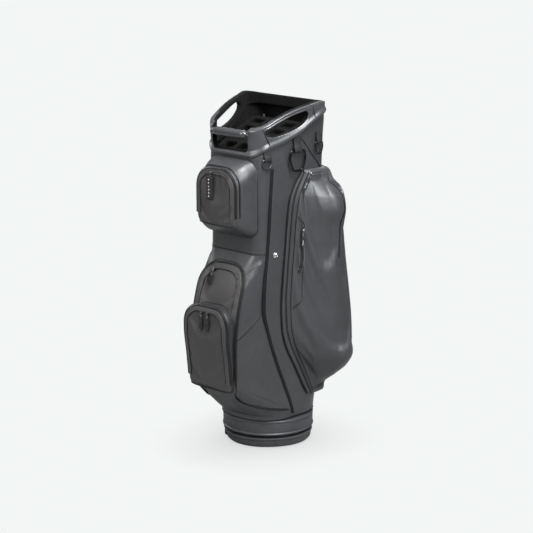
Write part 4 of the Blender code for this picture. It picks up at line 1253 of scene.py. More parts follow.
def build_arch_zip(name, body, arch, plane_y, offset, tape, coil):
    """Zip over a pocket's arch, tilted between straight ahead and outward."""
    outline = arch_over(arch, offset)
    path = np.array([(x, plane_y(min(max(z, arch[1]), arch[2])) - 0.0018, z)
                     for x, z in outline])
    step = np.gradient(outline, axis=0)
    step /= np.maximum(np.linalg.norm(step, axis=1, keepdims=True), 1e-9)
    out = np.stack([step[:, 1], -step[:, 0]], 1)
    if (out * (outline - [0, (arch[1] + arch[2]) / 2])).sum() < 0:
        out = -out
    tilt = 0.55
    normals = np.stack([out[:, 0] * tilt, -np.ones(len(out)), out[:, 1] * tilt], 1)
    normals /= np.linalg.norm(normals, axis=1, keepdims=True)
    count = max(24, int(run_lengths(path).sum() / 0.006))
    path, normals = resample(path, count), along(path, normals, count)
    parts = Parts()
    parts.sweep(path, rrect(tape, 0.0010), TAPE, normals)
    parts.coil(path, frames(path, normals)[2], width=coil, lift=0.0009)
    parts.build(name, body, "zip_tape", [name + "_track"])


def build_upper_skin():
    last = 18
    away = out_from_centre(0.688)
    # outlines at the tube, halfway and at the door
    outlines = zip(arch_half((0.0820, 0.5790, 0.7815, 0.030, 0.028), n_arc=14),
                   arch_half((0.0775, 0.5915, 0.7745, 0.043, 0.025), n_arc=14),
                   arch_half(UPPER, n_arc=14))
    columns = []
    for back, middle, front in outlines:
        start_y = front_y(min(max(back[1], 0.58), 0.778), back[0], 0.0010)
        column = []
        for r in range(last + 1):
            t = r / last
            x, z = (back * (1 - t) ** 2 + (2 * middle - 0.5 * back - 0.5 * front)
                    * 2 * t * (1 - t) + front * t * t)
            column.append((x, start_y + (UPPER_Y - start_y) * t, z))
        columns.append(column)
    grid = np.array([whole(row) for row in np.array(columns).transpose(1, 0, 2)])
    normals = outward_normals(grid, away, True)
    for r in range(last + 1):
        wave = math.sin(math.pi * r / last)
        for j in range(grid.shape[1]):
            point = grid[r, j]
            swell = 0.0006 + rumple(point, 24.0, 0.0020, 2.0) + rumple(point, 60.0, 0.0006, 4.0)
            grid[r, j] = point + normals[r, j] * (wave * swell
                                                  - 0.0012 * bell(r / last - 1, 0.06))
    parts = Parts()
    parts.sheet(with_lip(grid, 0.0070), 0.0022, away, LEATHER, LINING, wrap=True)
    normals = outward_normals(grid, away, True)
    rim = over_top(grid[-1], 0.640)

    def row(back, lift):
        return grid[last - back, rim] + normals[last - back, rim] * lift

    parts.cord(row(3, 0.0005), DEEP, radius=0.0018, count=120)
    parts.cord(row(1, 0.0008), SMOOTH, radius=0.0014, count=120)
    parts.stitches(row(5, 0.0001), normals[last - 5, rim])
    # Thin black cord round the pocket's foot where it meets the tube: painted shade that stands in
    # for the shadow in that crease.
    seam = grid[0][grid[0, :, 2] < 0.735] + [0, 0.0002, 0]
    parts.cord(seam, DEEP, radius=0.0011, count=140)
    parts.build("upper_pocket_skin", "bag", "leatherette", ["upper_pocket_shell"])


build_lower_skin()
build_pocket_lining("upper", 0.606, 0.764, 0.066)
build_pocket_lining("lower", 0.135, 0.500, 0.070)
build_arch_zip("lower_zip", "bag", LOWER, lower_y, offset=0.0030, tape=0.0100, coil=0.0046)
build_arch_zip("upper_zip", "bag", UPPER, upper_y, offset=0.0026, tape=0.0080, coil=0.0042)
build_arch_zip("outer_zip", "lower_door", OUTER, outer_y, offset=0.0028, tape=0.0088,
               coil=0.0042)
build_upper_skin()


# ================================================================== doors
def door_grid(arch, plane_y, crown, seed):
    """Outer face of a door: crowned, with its edge rolled back."""
    rows, cols, hem = 46, 34, 0.0030
    _, bottom, top, _, _ = arch
    grid = np.zeros((rows, cols, 3))
    for i, t in enumerate(np.linspace(0, 1, rows)):
        z = bottom + (top - bottom) * ((0.5 - 0.5 * math.cos(math.pi * t)) * 0.35 + t * 0.65)
        half_width = arch_width(z, arch)
        for j in range(cols):
            s = 2 * j / (cols - 1) - 1
            x = half_width * (0.75 * s + 0.25 * math.sin(s * math.pi / 2))
            depth = max(arch_depth(x, z, arch), 0.0)
            rise = crown * (1 - math.exp(-depth / 0.022)) - hem * math.exp(-depth / 0.0022)
            y = plane_y(z) - DOOR_T - rise
            grid[i, j] = (x, y + rumple((x, y, z), 16.0, 0.0006, seed), z)
    return grid


def build_door(tag, arch, plane_y, crown, band, seed, foot_cord=0.0016):
    grid = door_grid(arch, plane_y, crown, seed)
    grid = drape(grid, border(*grid.shape[:2], 3), pressure=0.9, cap=0.004, steps=12,
                 shrink=-0.010, bend=3.0, gravity=0.25, away=to_front)
    parts = Parts()
    normals = parts.sheet(grid, 0.0030, to_front, FACE, LINING).reshape(-1, 3)
    flat = grid.reshape(-1, 3)

    def on_face(x, z, lift):
        index, weight = nearest(np.hypot(flat[:, 0] - x, flat[:, 2] - z), 6, 0.0006)
        normal = unit((normals[index] * weight[:, None]).sum(0))
        return np.array([x, (flat[index, 1] * weight).sum(), z]) + normal * lift, normal

    def inside_edge(inset, foot, lift):
        """Path and normals on the face, parallel to the arch."""
        found = np.array([on_face(x, z, lift)
                          for x, z in resample(arch_over(arch, -inset, foot), 150)])
        return smooth(found[:, 0].copy(), 4), found[:, 1]

    # edge band between the zip and the seam that runs parallel to it
    path, out = inside_edge(band * 0.5 + 0.0015, 0.002, 0.0004)
    parts.sweep(path, rrect(band, 0.0016, 0.0006), FACE, out)
    path, _ = inside_edge(band + 0.0024, 0.002, 0.0006)
    parts.cord(path, DEEP, radius=0.0011)
    path, out = inside_edge(band - 0.0010, 0.004, 0.0014)
    parts.stitches(path, out)
    # sewn lower edge
    width, bottom, _, _, low_r = arch
    xs = np.linspace(-(width - low_r * 0.3), width - low_r * 0.3, 40)
    parts.cord([(x, plane_y(bottom) - DOOR_T * 0.6,
                 bottom + 0.0010 + 0.35 * low_r * (abs(x) / width) ** 6) for x in xs],
               DEEP, radius=foot_cord)
    parts.stitches([on_face(x, bottom + 0.0075, 0.0002)[0] for x in xs], (0, -1.0, 0))
    parts.build(tag + "_door_face", tag + "_door", "pocket_face", [tag + "_door_panel"])


def build_outer_skin():
    """The outer pocket's gusset, sewn to the lower door."""
    last = 12
    away = out_from_centre(0.295)
    rows = []
    for r in range(last + 1):
        t = r / last
        row = []
        for back, front in zip(arch_half((0.0775, 0.1795, 0.4060, 0.054, 0.016), n_arc=14),
                               arch_half(OUTER, n_arc=14)):
            x, z = back * (1 - t) + front * t
            start_y = lower_y(back[1]) - DOOR_T - 4 * GAP - 0.0006
            row.append((x, start_y + (outer_y(front[1]) - start_y) * t, z))
        rows.append(whole(np.array(row)))
    grid = np.array(rows)
    normals = outward_normals(grid, away, True)
    for r in range(last + 1):
        t = r / last
        for j in range(grid.shape[1]):
            point = grid[r, j]
            swell = math.sin(math.pi * t) * (0.0016 + rumple(point, 30.0, 0.0012, 6.0))
            grid[r, j] = point + normals[r, j] * (swell - 0.0008 * bell(t - 1, 0.1))
    parts = Parts()
    # The gusset takes the darker leatherette copy: painted shade.
    parts.sheet(grid, 0.0018, away, LEATHER_PAINTED_SHADE, LINING, wrap=True)
    parts.cord(grid[0], DEEP, radius=0.0014, cyclic=True)
    rim = over_top(grid[-1], 0.215)
    middle = last // 2
    parts.stitches(grid[middle, rim] + normals[middle, rim] * 0.0002, normals[middle, rim])
    parts.build("outer_pocket_skin", "lower_door", "leatherette", ["outer_pocket_shell"])


build_door("upper", UPPER, upper_y, crown=0.0045, band=0.0120, seed=1.0)
build_door("lower", LOWER, lower_y, crown=0.0030, band=0.0150, seed=2.0)
build_door("outer", OUTER, outer_y, crown=0.0040, band=0.0110, seed=4.0, foot_cord=0.0032)
build_outer_skin()


# ================================================================== zip sliders and pulls
WORLD_AXES = np.eye(3)


def tilted(angle):
    """Axes turned about X."""
    turn = Matrix.Rotation(angle, 3, "X")
    return np.array([list(turn @ Vector(axis)) for axis in ((1, 0, 0), (0, 1, 0), (0, 0, 1))])


def build_slider(name, body, centre, axes, replaces):
    """Lower plate, waisted top plate, nose and a bridge for the pull."""
    width, height = 0.0088, 0.0130
    _, inward, up = axes
    centre = np.array(centre, float)
    parts = Parts()
    parts.block((width, 0.0012, height), centre + inward * 0.0016, axes, GUNMETAL,
                bevel=0.0004, taper=0.72)
    parts.block((width * 0.92, 0.0014, height * 0.96), centre - inward * 0.0008, axes,
                GUNMETAL, bevel=0.0005, taper=0.66)
    parts.block((width * 0.30, 0.0030, height * 0.40),
                centre + up * height * 0.24 + inward * 0.0004, axes, GUNMETAL, bevel=0.0004)
    bridge = [centre + up * (height * 0.36 * math.cos(a))
              - inward * (0.0012 + 0.0024 * math.sin(a)) for a in np.linspace(0, math.pi, 13)]
    parts.sweep(bridge, rrect(0.0026, 0.0011, 0.0004), GUNMETAL)
    parts.build(name, body, "gunmetal", replaces)


def add_link(parts, centre, axes, material, width=0.0062, length=0.0085):
    """Small wire link from the slider's bridge down to the tab."""
    half = width / 2
    points = [(-half, 0, -length * 0.25), (-half, 0, -length), (half, 0, -length),
              (half, 0, -length * 0.25), (width * 0.3, 0, 0.0006), (-width * 0.3, 0, 0.0006)]
    parts.cord(local(centre, axes, soften(points, 2, True)), material, radius=0.0008,
               cyclic=True)


def add_flat_tab(parts, centre, axes, width, length, material, grip_material, thick):
    """Flat pull with a rounded outline, a raised rim and grip bars."""
    angles = np.linspace(0, math.pi, 10)
    outline = [(width / 2 * math.cos(a), -width * 0.25 + width / 2 * math.sin(a))
               for a in angles]
    outline += [(-width / 2 * math.cos(a) * 0.92,
                 -length + width * 0.4 - width * 0.4 * math.sin(a)) for a in angles]
    outline = np.array(outline)
    middle = outline.mean(0)
    half = thick / 2
    # scale of the outline and its place through the thickness
    section = ((0.90, half), (1.0, half - 0.0004), (1.0, -half + 0.0004), (0.92, -half),
               (0.74, -half), (0.70, -half + 0.0004))
    parts.loft([local(centre, axes, [
        (x, y, z) for x, z in
        (outline - middle) * [scale, 1 - (1 - scale) * width / length] + middle])
        for scale, y in section], material)
    for i in range(5):
        at = local(centre, axes, (0, -half - 0.0001, -length * (0.42 + 0.10 * i)))
        parts.block((width * 0.50, 0.0007, length * 0.040), at, axes, grip_material,
                    bevel=0.0002)


def add_web_tab(parts, centre, axes, width, length):
    """Folded webbing pull: two plies, stitched edges, a row of plain studs."""
    thick, stud_r, studs = 0.0024, 0.0021, 6
    centre = np.array(centre)
    right, inward, up = np.array(axes)
    half = thick * 0.5
    fold = [(0, -half, -0.0030), (0, -half, -length * 0.30), (0, -thick * 0.60, -length * 0.6),
            (0, -half, -length + 0.0030), (0, 0, -length + 0.0006),
            (0, half, -length + 0.0030), (0, thick * 0.4, -length * 0.6),
            (0, half, -length * 0.3), (0, half, -0.0030), (0, 0, -0.0002)]
    path = local(centre, axes, resample(soften(fold, 2, True), 60))
    normals = []
    for point in path:
        off_axis = point - (centre + (point - centre) @ up * up)
        normals.append(off_axis if np.linalg.norm(off_axis) > 1e-5 else -up)
    parts.sweep(path, rrect(width, thick * 0.52, thick * 0.2), WEB, normals, cyclic=True)
    for side in (-1, 1):
        x = side * width * 0.40
        edge = local(centre, axes, [(x, -thick * 0.82, -0.006),
                                    (x, -thick * 0.90, -length * 0.5),
                                    (x, -thick * 0.82, -length + 0.005)])
        parts.stitches(resample(edge, 12), -inward, DARK_THREAD, pitch=0.0036,
                       length=0.0024, radius=0.0003)
    for k in range(studs):
        z = -length * (0.14 + 0.72 * k / (studs - 1))
        base = local(centre, axes, (-width * 0.08, -thick * 0.90, z))
        parts.loft([hoop(base - inward * (0.0009 * math.sin(a)), right, up,
                         stud_r * math.cos(a), 14)
                    for a in np.linspace(0, math.pi / 2 * 0.94, 5)], SILVER)


def build_pull(name, body, slot, replaces, centre, axes, kind, width, length):
    parts = Parts()
    if kind == "web":
        add_link(parts, centre, axes, PLASTIC, width=0.0090, length=0.0050)
        add_web_tab(parts, local(centre, axes, (0, 0, -0.0030)), axes, width, length - 0.003)
    else:
        material, grip, thick = {"metal": (GUNMETAL, SILVER, 0.0018),
                                 "plastic": (PLASTIC, RUBBER, 0.0026)}[kind]
        add_link(parts, centre, axes, material)
        add_flat_tab(parts, local(centre, axes, (0, 0, -0.0050)), axes, width,
                     length - 0.005, material, grip, thick)
    parts.build(name, body, slot, replaces)


def build_front_pulls():
    x, y = -0.014, UPPER_Y - GAP - DOOR_T
    build_slider("upper_slider_body", "upper_slider", (x, y - 0.0024, 0.7480), WORLD_AXES,
                 ["upper_zip_slider"])
    build_pull("upper_pull_strap", "upper_pull", "webbing", ["upper_zip_pull"],
               (x, y - 0.0077, 0.7440), WORLD_AXES, "web", width=0.0200, length=0.0640)
    x, y = -0.036, linear(LOWER_Y, 0.486) - GAP - DOOR_T
    build_slider("lower_slider_body", "lower_slider", (x, y - 0.0042, 0.4880),
                 tilted(-0.50), ["lower_zip_slider"])
    build_pull("lower_pull_tab", "lower_pull", "gunmetal", ["lower_zip_pull"],
               (x, y - 0.0135, 0.4830), tilted(-0.26), "plastic", width=0.0150,
               length=0.0360)
    y = linear(OUTER_Y, 0.385) - GAP - DOOR_T
    for tag, x in (("left", -0.0105), ("right", 0.0115)):
        build_slider("outer_slider_body_" + tag, "outer_slider_" + tag,
                     (x, y - 0.0030, 0.3860), WORLD_AXES, ["outer_zip_slider_" + tag])
        build_pull("outer_pull_tab_" + tag, "outer_pull_" + tag, "webbing",
                   ["outer_zip_pull_" + tag], (x, y - 0.0066, 0.3820), WORLD_AXES,
                   "plastic", width=0.0110, length=0.0420)


build_front_pulls()

# ================================================================== apparel pockets
APPAREL_Z0, APPAREL_Z1 = APPAREL[0][0], APPAREL[-1][0]
PANEL_COLS = 60
away_apparel = out_from_axis(0.02)


def apparel_lines(z, edge_y, corner, rear_y, steps):
    """Bowed side, corner arc and rear end of the right pocket's plan."""
    edge = np.array([side_x(z, edge_y) + APPAREL_LIFT, edge_y])
    rear = np.array([0.0860, max(rear_y, 0.105) + APPAREL_LIFT])
    arc = fillet(edge, corner, rear, CORNER_R, steps, 0.72)
    run = arc[0] - edge
    length = np.linalg.norm(run)
    out = np.array([run[1], -run[0]]) / length
    side = [edge + run * i / steps
            + out * 0.070 * length * math.sin(math.pi * i / steps) ** 0.8
            for i in range(steps)]
    return side, arc, rear


def apparel_split(z, panel_count, rear_count):
    """The plan cut at the rear seam into panel and rear wall."""
    edge_y, corner_x, corner_y = (curve(APPAREL, z, column) for column in (1, 2, 3))
    side, arc, rear = apparel_lines(z, edge_y, (corner_x, corner_y), curve(BODY, z, 4), 14)
    wall = [arc[-1] + (rear - arc[-1]) * i / 12 for i in range(1, 13)]
    line = resample(side + arc + wall, 300)
    widest = int(np.argmax(line[:, 0]))
    seam = min(SEAM_X, line[widest][0] - 0.004)
    j = next(i for i in range(widest, len(line)) if line[i][0] <= seam)
    t = (line[j - 1][0] - seam) / (line[j - 1][0] - line[j][0])
    cut = line[j - 1] + (line[j] - line[j - 1]) * t
    return (resample(np.vstack([line[:j], cut]), panel_count),
            resample([cut + unit(line[-1] - cut) * 0.0040, line[-1]], rear_count))


def apparel_heights(low, middle, high):
    return np.concatenate([np.linspace(APPAREL_Z0, 0.20, low)[:-1],
                           np.linspace(0.20, 0.66, middle)[:-1],
                           np.linspace(0.66, APPAREL_Z1, high)])


def panel_grid():
    heights = apparel_heights(18, 50, 26)
    grid = np.zeros((len(heights), PANEL_COLS, 3))
    for i, z in enumerate(heights):
        grid[i, :, :2] = apparel_split(z, PANEL_COLS, 4)[0]
        grid[i, :, 2] = z
    normals = outward_normals(grid, away_apparel)
    # z, share back from the front edge, height, share width, depth
    hollows = ((0.672, 0.16, 0.040, 0.14, 0.0030), (0.300, 0.55, 0.090, 0.22, 0.0020))
    for i, z in enumerate(heights):
        for j, u in enumerate(np.linspace(0, 1, PANEL_COLS)):
            point = grid[i, j]
            fade = ease(min(u / 0.10, (1 - u) / 0.08, (z - APPAREL_Z0) / 0.03,
                            (APPAREL_Z1 - z) / 0.03))
            swell = rumple(point, 7.0, 0.0022, 1.0) + rumple(point, 19.0, 0.0005, 8.0)
            for at_z, at_u, height, width, depth in hollows:
                swell -= depth * math.exp(-((z - at_z) / height) ** 2
                                          - ((u - at_u) / width) ** 2)
            grid[i, j] = point + normals[i, j] * fade * swell
    return drape(grid, border(*grid.shape[:2], 2), pressure=0.9, cap=0.008, steps=16,
                 shrink=-0.006, bend=8.0, gravity=0.3, away=away_apparel)


def rolled(grid):
    """Adds edges turned in towards the tube at the front, top and foot."""
    columns = []
    for t in (1.0, 0.62, 0.25):
        column = grid[:, 0].copy()
        for i, z in enumerate(grid[:, 0, 2]):
            base = on_side(z, curve(APPAREL, z) - 0.0042 * t, 0.0044)
            column[i] = column[i] * (1 - t) + base * t
            column[i, 1] = grid[i, 0, 1] - 0.0042 * math.sin(t * math.pi / 2)
        columns.append(column)
    grid = np.concatenate([np.stack(columns, 1), grid], 1)

    def turned_row(source, t, direction, reach):
        row = source.copy()
        ring = ring_at(source[0, 2], 0.0030)
        for point in row:
            near = ring[int(np.argmin(((ring - point[:2]) ** 2).sum(1)))]
            inward = near - point[:2]
            length = np.linalg.norm(inward)
            if length > 1e-6:
                point[:2] += inward / length * min(0.0075 * t ** 1.5 * reach, length)
        row[:, 2] += direction * 0.0045 * math.sin(t * math.pi / 2)
        return row

    shares = (0.35, 0.7, 1.0)
    foot = [turned_row(grid[0], t, -1, 1.0) for t in shares[::-1]]
    top = [turned_row(grid[-1], t, 1, 2.2) for t in shares]
    return np.concatenate([np.stack(foot, 0), grid, np.stack(top, 0)], 0)


PANEL = panel_grid()
PANEL_ROLLED = rolled(PANEL)
PANEL_NORMALS = outward_normals(PANEL, away_apparel)


def on_panel(z, u, lift):
    """Point and normal on the right panel at height z, share u back from its front edge."""
    row = np.interp(z, PANEL[:, 0, 2], np.arange(len(PANEL)))
    column = u * (PANEL_COLS - 1)
    i, j = min(int(row), len(PANEL) - 2), min(int(column), PANEL_COLS - 2)
    a, b = row - i, column - j

    def mixed(grid):
        return ((1 - a) * (1 - b) * grid[i, j] + a * (1 - b) * grid[i + 1, j]
                + (1 - a) * b * grid[i, j + 1] + a * b * grid[i + 1, j + 1])

    normal = unit(mixed(PANEL_NORMALS))
    return mixed(PANEL) + normal * lift, normal


def panel_run(heights, shares, lift, side=1):
    """Path and normals over a panel."""
    found = np.array([on_panel(z, u, lift)
                      for z, u in zip(*np.broadcast_arrays(heights, shares))])
    return found[:, 0] * flip(side), found[:, 1] * flip(side)


def rear_turn(heights):
    """Share at which the panel's side turns into its rear corner."""
    angles = np.degrees(np.arctan2(PANEL_NORMALS[..., 1], PANEL_NORMALS[..., 0]))
    turn = np.array([
        next((k for k in range(PANEL_COLS // 4, PANEL_COLS) if row[k] > 8.0), PANEL_COLS - 8)
        / (PANEL_COLS - 1) for row in angles])
    zs = PANEL[:, 0, 2]
    near = (zs > 0.50) & (zs < 0.745)
    turn = np.clip(np.polyval(np.polyfit(zs[near], turn[near], 2), zs), 0.3, 0.97)
    return np.interp(heights, zs, turn)


def build_panel(side, tag):
    parts = Parts()
    parts.sheet(PANEL_ROLLED * flip(side), 0.0024, away_apparel, LEATHER, LINING)
    # stitching behind the front edge and before the rear one
    for share, z0, z1 in ((0.035, 0.150, 0.735), (0.955, 0.165, 0.715)):
        parts.stitches(*panel_run(np.linspace(z0, z1, 90), share, 0.0001, side))
    # front edge binding
    path, _ = panel_run(np.linspace(0.140, 0.737, 90), 0.012, 0.0002, side)
    parts.cord(path, DEEP, radius=0.0011)
    # piping where the side turns into the rear corner, with its stitching
    heights = np.linspace(0.512, 0.738, 80)
    turn = rear_turn(heights)
    parts.cord(panel_run(heights, turn, 0.0006, side)[0], DEEP, radius=0.0019)
    parts.stitches(*panel_run(heights, turn - 0.030, 0.0001, side))
    # seam along the top of the pocket
    path, _ = panel_run(0.731, np.linspace(0.02, 0.98, 50), 0.0003, side)
    parts.cord(path, SMOOTH, radius=0.0009)
    if side > 0:
        add_valuables_outline(parts)
    parts.build(tag + "_panel_skin", tag + "_panel", "leatherette", [tag + "_apparel_panel"])


def add_valuables_outline(parts):
    """Seams that outline the valuables pocket: z, share back from the front edge."""
    u = 0.150
    top = [(0.626, 0.03), (0.604, u - 0.004)]
    back = [(0.604, u - 0.004), (0.540, u), (0.450, u + 0.002), (0.405, u + 0.002)]
    foot = [(0.405, u + 0.002), (0.381, 0.03)]
    for points, radius, lift in ((top, 0.0011, 0.0003), (back, 0.0009, 0.0002),
                                 (foot, 0.0010, 0.0003)):
        heights, shares = resample(points, 60).T
        parts.cord(panel_run(heights, shares, lift)[0], DEEP, radius=radius)
        if points is back:
            parts.stitches(*panel_run(heights, shares + 0.018, 0.0002))


def build_rear_wall(side, tag):
    """Rear wall of the apparel pocket and the lining wall that lies against the tube."""
    heights = apparel_heights(10, 34, 16)
    cols = 20
    grid = np.zeros((len(heights), cols, 3))
    for i, z in enumerate(heights):
        _, wall = apparel_split(z, 10, cols)
        for j, (x, y) in enumerate(wall):
            arc = math.sin(math.pi * j / (cols - 1))
            puff = 0.0060 * arc ** 0.8 if arc > 0 else 0.0
            puff *= ease((z - 0.150) / 0.06) * ease((0.735 - z) / 0.05)
            puff *= ease((wall[0][0] - 0.100) / 0.03)
            grid[i, j] = (x, y + puff + rumple((x, y, z), 14.0, 0.0020, 11.0) * arc, z)

    def turned_row(source, t, inward, direction):
        rise = direction * 0.0045 * math.sin(t * math.pi / 2)
        return source + [0, -inward * t ** 1.5, rise]

    shares = (0.35, 0.7, 1.0)
    foot = [turned_row(grid[0], t, 0.0070, -1) for t in shares[::-1]]
    top = [turned_row(grid[-1], t, 0.0100, 1) for t in shares]
    parts = Parts()
    parts.sheet(np.concatenate([foot, grid, top], 0) * flip(side), 0.0022, to_back,
                LEATHER, LINING)
    parts.cord((grid[:, 1] + [0, 0.0012, 0]) * flip(side), DEEP, radius=0.0013)
    for column, lift in ((3, 0.0004), (-2, 0.0002)):
        parts.stitches((grid[:, column] + [0, lift, 0]) * flip(side), (0, 1.0, 0))
    lining = []
    for z in heights:
        edge_y = curve(APPAREL, z) + 0.002
        ring = ring_at(z, 0.0034)[::-1]
        points = [(0.086, ring[0][1])]
        points += [p for p in ring if p[0] > 0.088 and p[1] > edge_y + 0.002]
        points.append((side_x(z, edge_y, 0.0034), edge_y))
        lining.append([(x, y, z) for x, y in resample(points, 22)])
    parts.sheet(np.array(lining) * flip(side), 0.0010, out_from_axis(), LINING)
    parts.build(tag + "_pocket_wall", "bag", "leatherette", [tag + "_apparel_shell"])


def build_zip_band(side, tag):
    """The strip between the fore line and the pocket's edge, with the zip behind it."""
    heights = np.linspace(0.132, 0.740, 110)
    zip_y = [curve(APPAREL, z) - 0.0078 for z in heights]
    fore_y = [min(curve(FORE, z), y - 0.006) for z, y in zip(heights, zip_y)]
    fore = np.array([on_side(z, y, 0.0022) for z, y in zip(heights, fore_y)])
    normals = side_normals(fore) * flip(side)
    parts = Parts()
    parts.cord(fore * flip(side), DEEP, radius=0.0026, sides=10)
    # leatherette flap from the fore line to the coil
    flap = []
    for z, front, rear in zip(heights, fore_y, zip_y):
        front, rear = front + 0.0020, rear - 0.0013
        flap.append([on_side(z, front + (rear - front) * t,
                             0.0030 + 0.0012 * t + 0.0010 * math.sin(math.pi * t)
                             - 0.0010 * (bell(t, 0.12) + bell(t - 1, 0.12)))
                     for t in np.linspace(0, 1, 7)])
    flap = np.array(flap) * flip(side)
    parts.sheet(flap, 0.0012, out_from_axis(), LEATHER)
    parts.stitches(flap[:, 5] + normals * 0.0003, normals)
    track = np.array([on_side(z, y, 0.0024) for z, y in zip(heights, zip_y)]) * flip(side)
    parts.sweep(track, rrect(0.0078, 0.0008), TAPE, normals)
    parts.coil(track, normals, width=0.0036, lift=0.0010, height=0.0015)
    parts.build(tag + "_zip_band", "bag", "zip_tape", [tag + "_zip_track"])
    # the half of the tape that is sewn to the panel
    tape = np.array([[on_side(z, y + 0.0015 + 0.0035 * t, 0.0040 + 0.0022 * t)
                      for t in np.linspace(0, 1, 4)] for z, y in zip(heights, zip_y)])
    parts = Parts()
    parts.sheet(tape * flip(side), 0.0010, out_from_axis(), TAPE)
    parts.build(tag + "_panel_tape", tag + "_panel", "zip_tape")


for build in (build_panel, build_rear_wall, build_zip_band):
    for side, tag in SIDES:
        build(side, tag)

# The frame's own stations for the zips on the panels, with columns as APPAREL
FRAME_APPAREL = [
    (0.400, -0.037, 0.2450, 0.1390), (0.480, -0.031, 0.2340, 0.1380),
    (0.545, -0.025, 0.2260, 0.1370), (0.595, -0.021, 0.2250, 0.1360),
    (0.640, -0.016, 0.2500, 0.1340), (0.675, -0.009, 0.2380, 0.1280),
    (0.700, 0.001, 0.2060, 0.1220), (0.722, 0.012, 0.1530, 0.1185),
    (0.740, 0.021, 0.1320, 0.1185)]
VALUABLES_SHARE = 0.21


def frame_panel_point(z, share, lift):
    """Point and normal on the frame's own right panel, share back along its side."""
    edge_y, corner_x, corner_y = (linear(FRAME_APPAREL, z, column) for column in (1, 2, 3))
    side, arc, _ = apparel_lines(z, edge_y, (corner_x, corner_y), linear(BODY, z, 4), 6)
    line = side + arc[:1]
    t = share * (len(line) - 1)
    i = min(int(t), len(line) - 2)
    step = line[i + 1] - line[i]
    x, y = line[i] + step * (t - i)
    normal = unit(np.array([step[1], -step[0], 0.0]))
    return np.array([x, y, z]) + normal * lift, normal


def build_side_pull(tag, side, z, share, width, length, slider_lift, pull_lift):
    def laid(top_z, drop, lift):
        """Place and axes of a part that lies down the panel from top_z."""
        top, normal = frame_panel_point(top_z, share, lift)
        foot, _ = frame_panel_point(top_z - drop, share, lift)
        top, foot, normal = top * flip(side), foot * flip(side), normal * flip(side)
        up = unit(top - foot)
        inward = unit(-(normal - up * (normal @ up)))
        return top, np.array([np.cross(inward, up), inward, up])

    build_slider(tag + "_slider_body", tag + "_slider", *laid(z, 0.03, slider_lift),
                 [tag + "_zip_slider"])
    build_pull(tag + "_pull_tab", tag + "_pull", "gunmetal", [tag + "_zip_pull"],
               *laid(z - 0.005, length, pull_lift), "metal", width, length)


def build_valuables_zip():
    """A welted slot under the slider."""
    found = np.array([frame_panel_point(z, VALUABLES_SHARE, 0.0)
                      for z in np.linspace(0.478, 0.600, 40)])
    path, normals = found[:, 0].copy(), found[:, 1]
    # keep it on the draped surface
    flat = PANEL.reshape(-1, 3)
    for point in path:
        distance = np.hypot(flat[:, 1] - point[1], flat[:, 2] - point[2])
        index, weight = nearest(distance, 4, 0.0005)
        point[0] = (flat[index, 0] * weight).sum()
    parts = Parts()
    parts.sweep(path, rrect(0.0090, 0.0012), TAPE, normals, lift=0.0012)
    parts.coil(path, normals, width=0.0036, lift=0.0022, height=0.0014)
    for side in (-1, 1):
        welt = path + np.cross(normals, UP) * side * 0.0058
        parts.cord(welt + normals * 0.0014, SMOOTH, radius=0.0013)
    parts.build("valuables_zip", "right_panel", "zip_tape", ["valuables_zip_track"])


for side, tag in SIDES:
    build_side_pull(tag, side, z=0.735, share=0.10, width=0.0090, length=0.0400,
                    slider_lift=0.0042, pull_lift=0.0088)
build_side_pull("valuables", 1, z=0.588, share=VALUABLES_SHARE, width=0.0080, length=0.0360,
                slider_lift=0.0072, pull_lift=0.0118)
build_valuables_zip()


# ================================================================== collar
def cuff_half(offset):
    return half_outline(*CUFF, offset=offset, n_front=22, n_arc=18, n_side=64, n_rear=22)


def cuff_x(y, offset):
    return outline_x(cuff_half(offset), y)


def collar_solid():
    heights = list(np.linspace(0.0, 1.0, 15))
    # share through the wall, share up it: outer face, rim, inner face, underside
    section = [(0.0, up) for up in heights] + [(0.34, 1.0), (0.67, 1.0)]
    section += [(1.0, up) for up in heights[::-1]] + [(0.67, 0.0), (0.34, 0.0)]
    rings = []
    for depth, up in section:
        ring = []
        for x, y in whole(cuff_half(-depth * WALL_T)):
            bottom, top = curve(CUFF_BOTTOM, y), curve(CUFF_TOP, y)
            z = bottom + up * (top - bottom)
            scale = 1.0
            if depth == 0.0:
                # rolled lower lip and a rounded shoulder under the rim
                height = z - bottom
                grow = 0.0040 * bell(height - 0.0075, 0.0062) - 0.0018 * bell(height - 0.020, 0.007)
                grow += 0.0014 * bell(top - z - 0.008, 0.006)
                scale += grow / math.hypot(x, y)
            ring.append((x * scale, y * scale, z))
        rings.append(ring)
    rings = np.array(rings)
    parts = Parts()
    parts.add(rings.reshape(-1, 3), ring_faces(*rings.shape[:2], cyclic=True), COLLAR)
    return parts.build("collar_work")


def cutter(name, rings):
    parts = Parts()
    parts.loft(rings, COLLAR)
    return parts.build(name)


def collar_cutters():
    """A front opening with rounded lower corners, and the two side windows."""
    left, right, sill, top = -0.071, 0.055, 0.8000, 0.930
    outline = fillet((left, top), (left, sill), (right, sill), 0.014, 8)
    outline += fillet((left, sill), (right, sill), (right, top), 0.014, 8)
    outline += [(right, top), (left, top)]
    cutters = [cutter("cut_front", [[(x, y, z) for x, z in outline] for y in (-0.170, -0.092)])]
    window = soften(SIDE_WINDOW, 3, True)
    for side, tag in SIDES:
        cutters.append(cutter("cut_" + tag, [[(side * x, y, z) for y, z in window]
                                             for x in (0.060, 0.190)]))
    return cutters


def read_polygons(mesh, attribute):
    values = np.zeros(len(mesh.polygons) * 3, np.float32)
    mesh.polygons.foreach_get(attribute, values)
    return values.reshape(-1, 3)


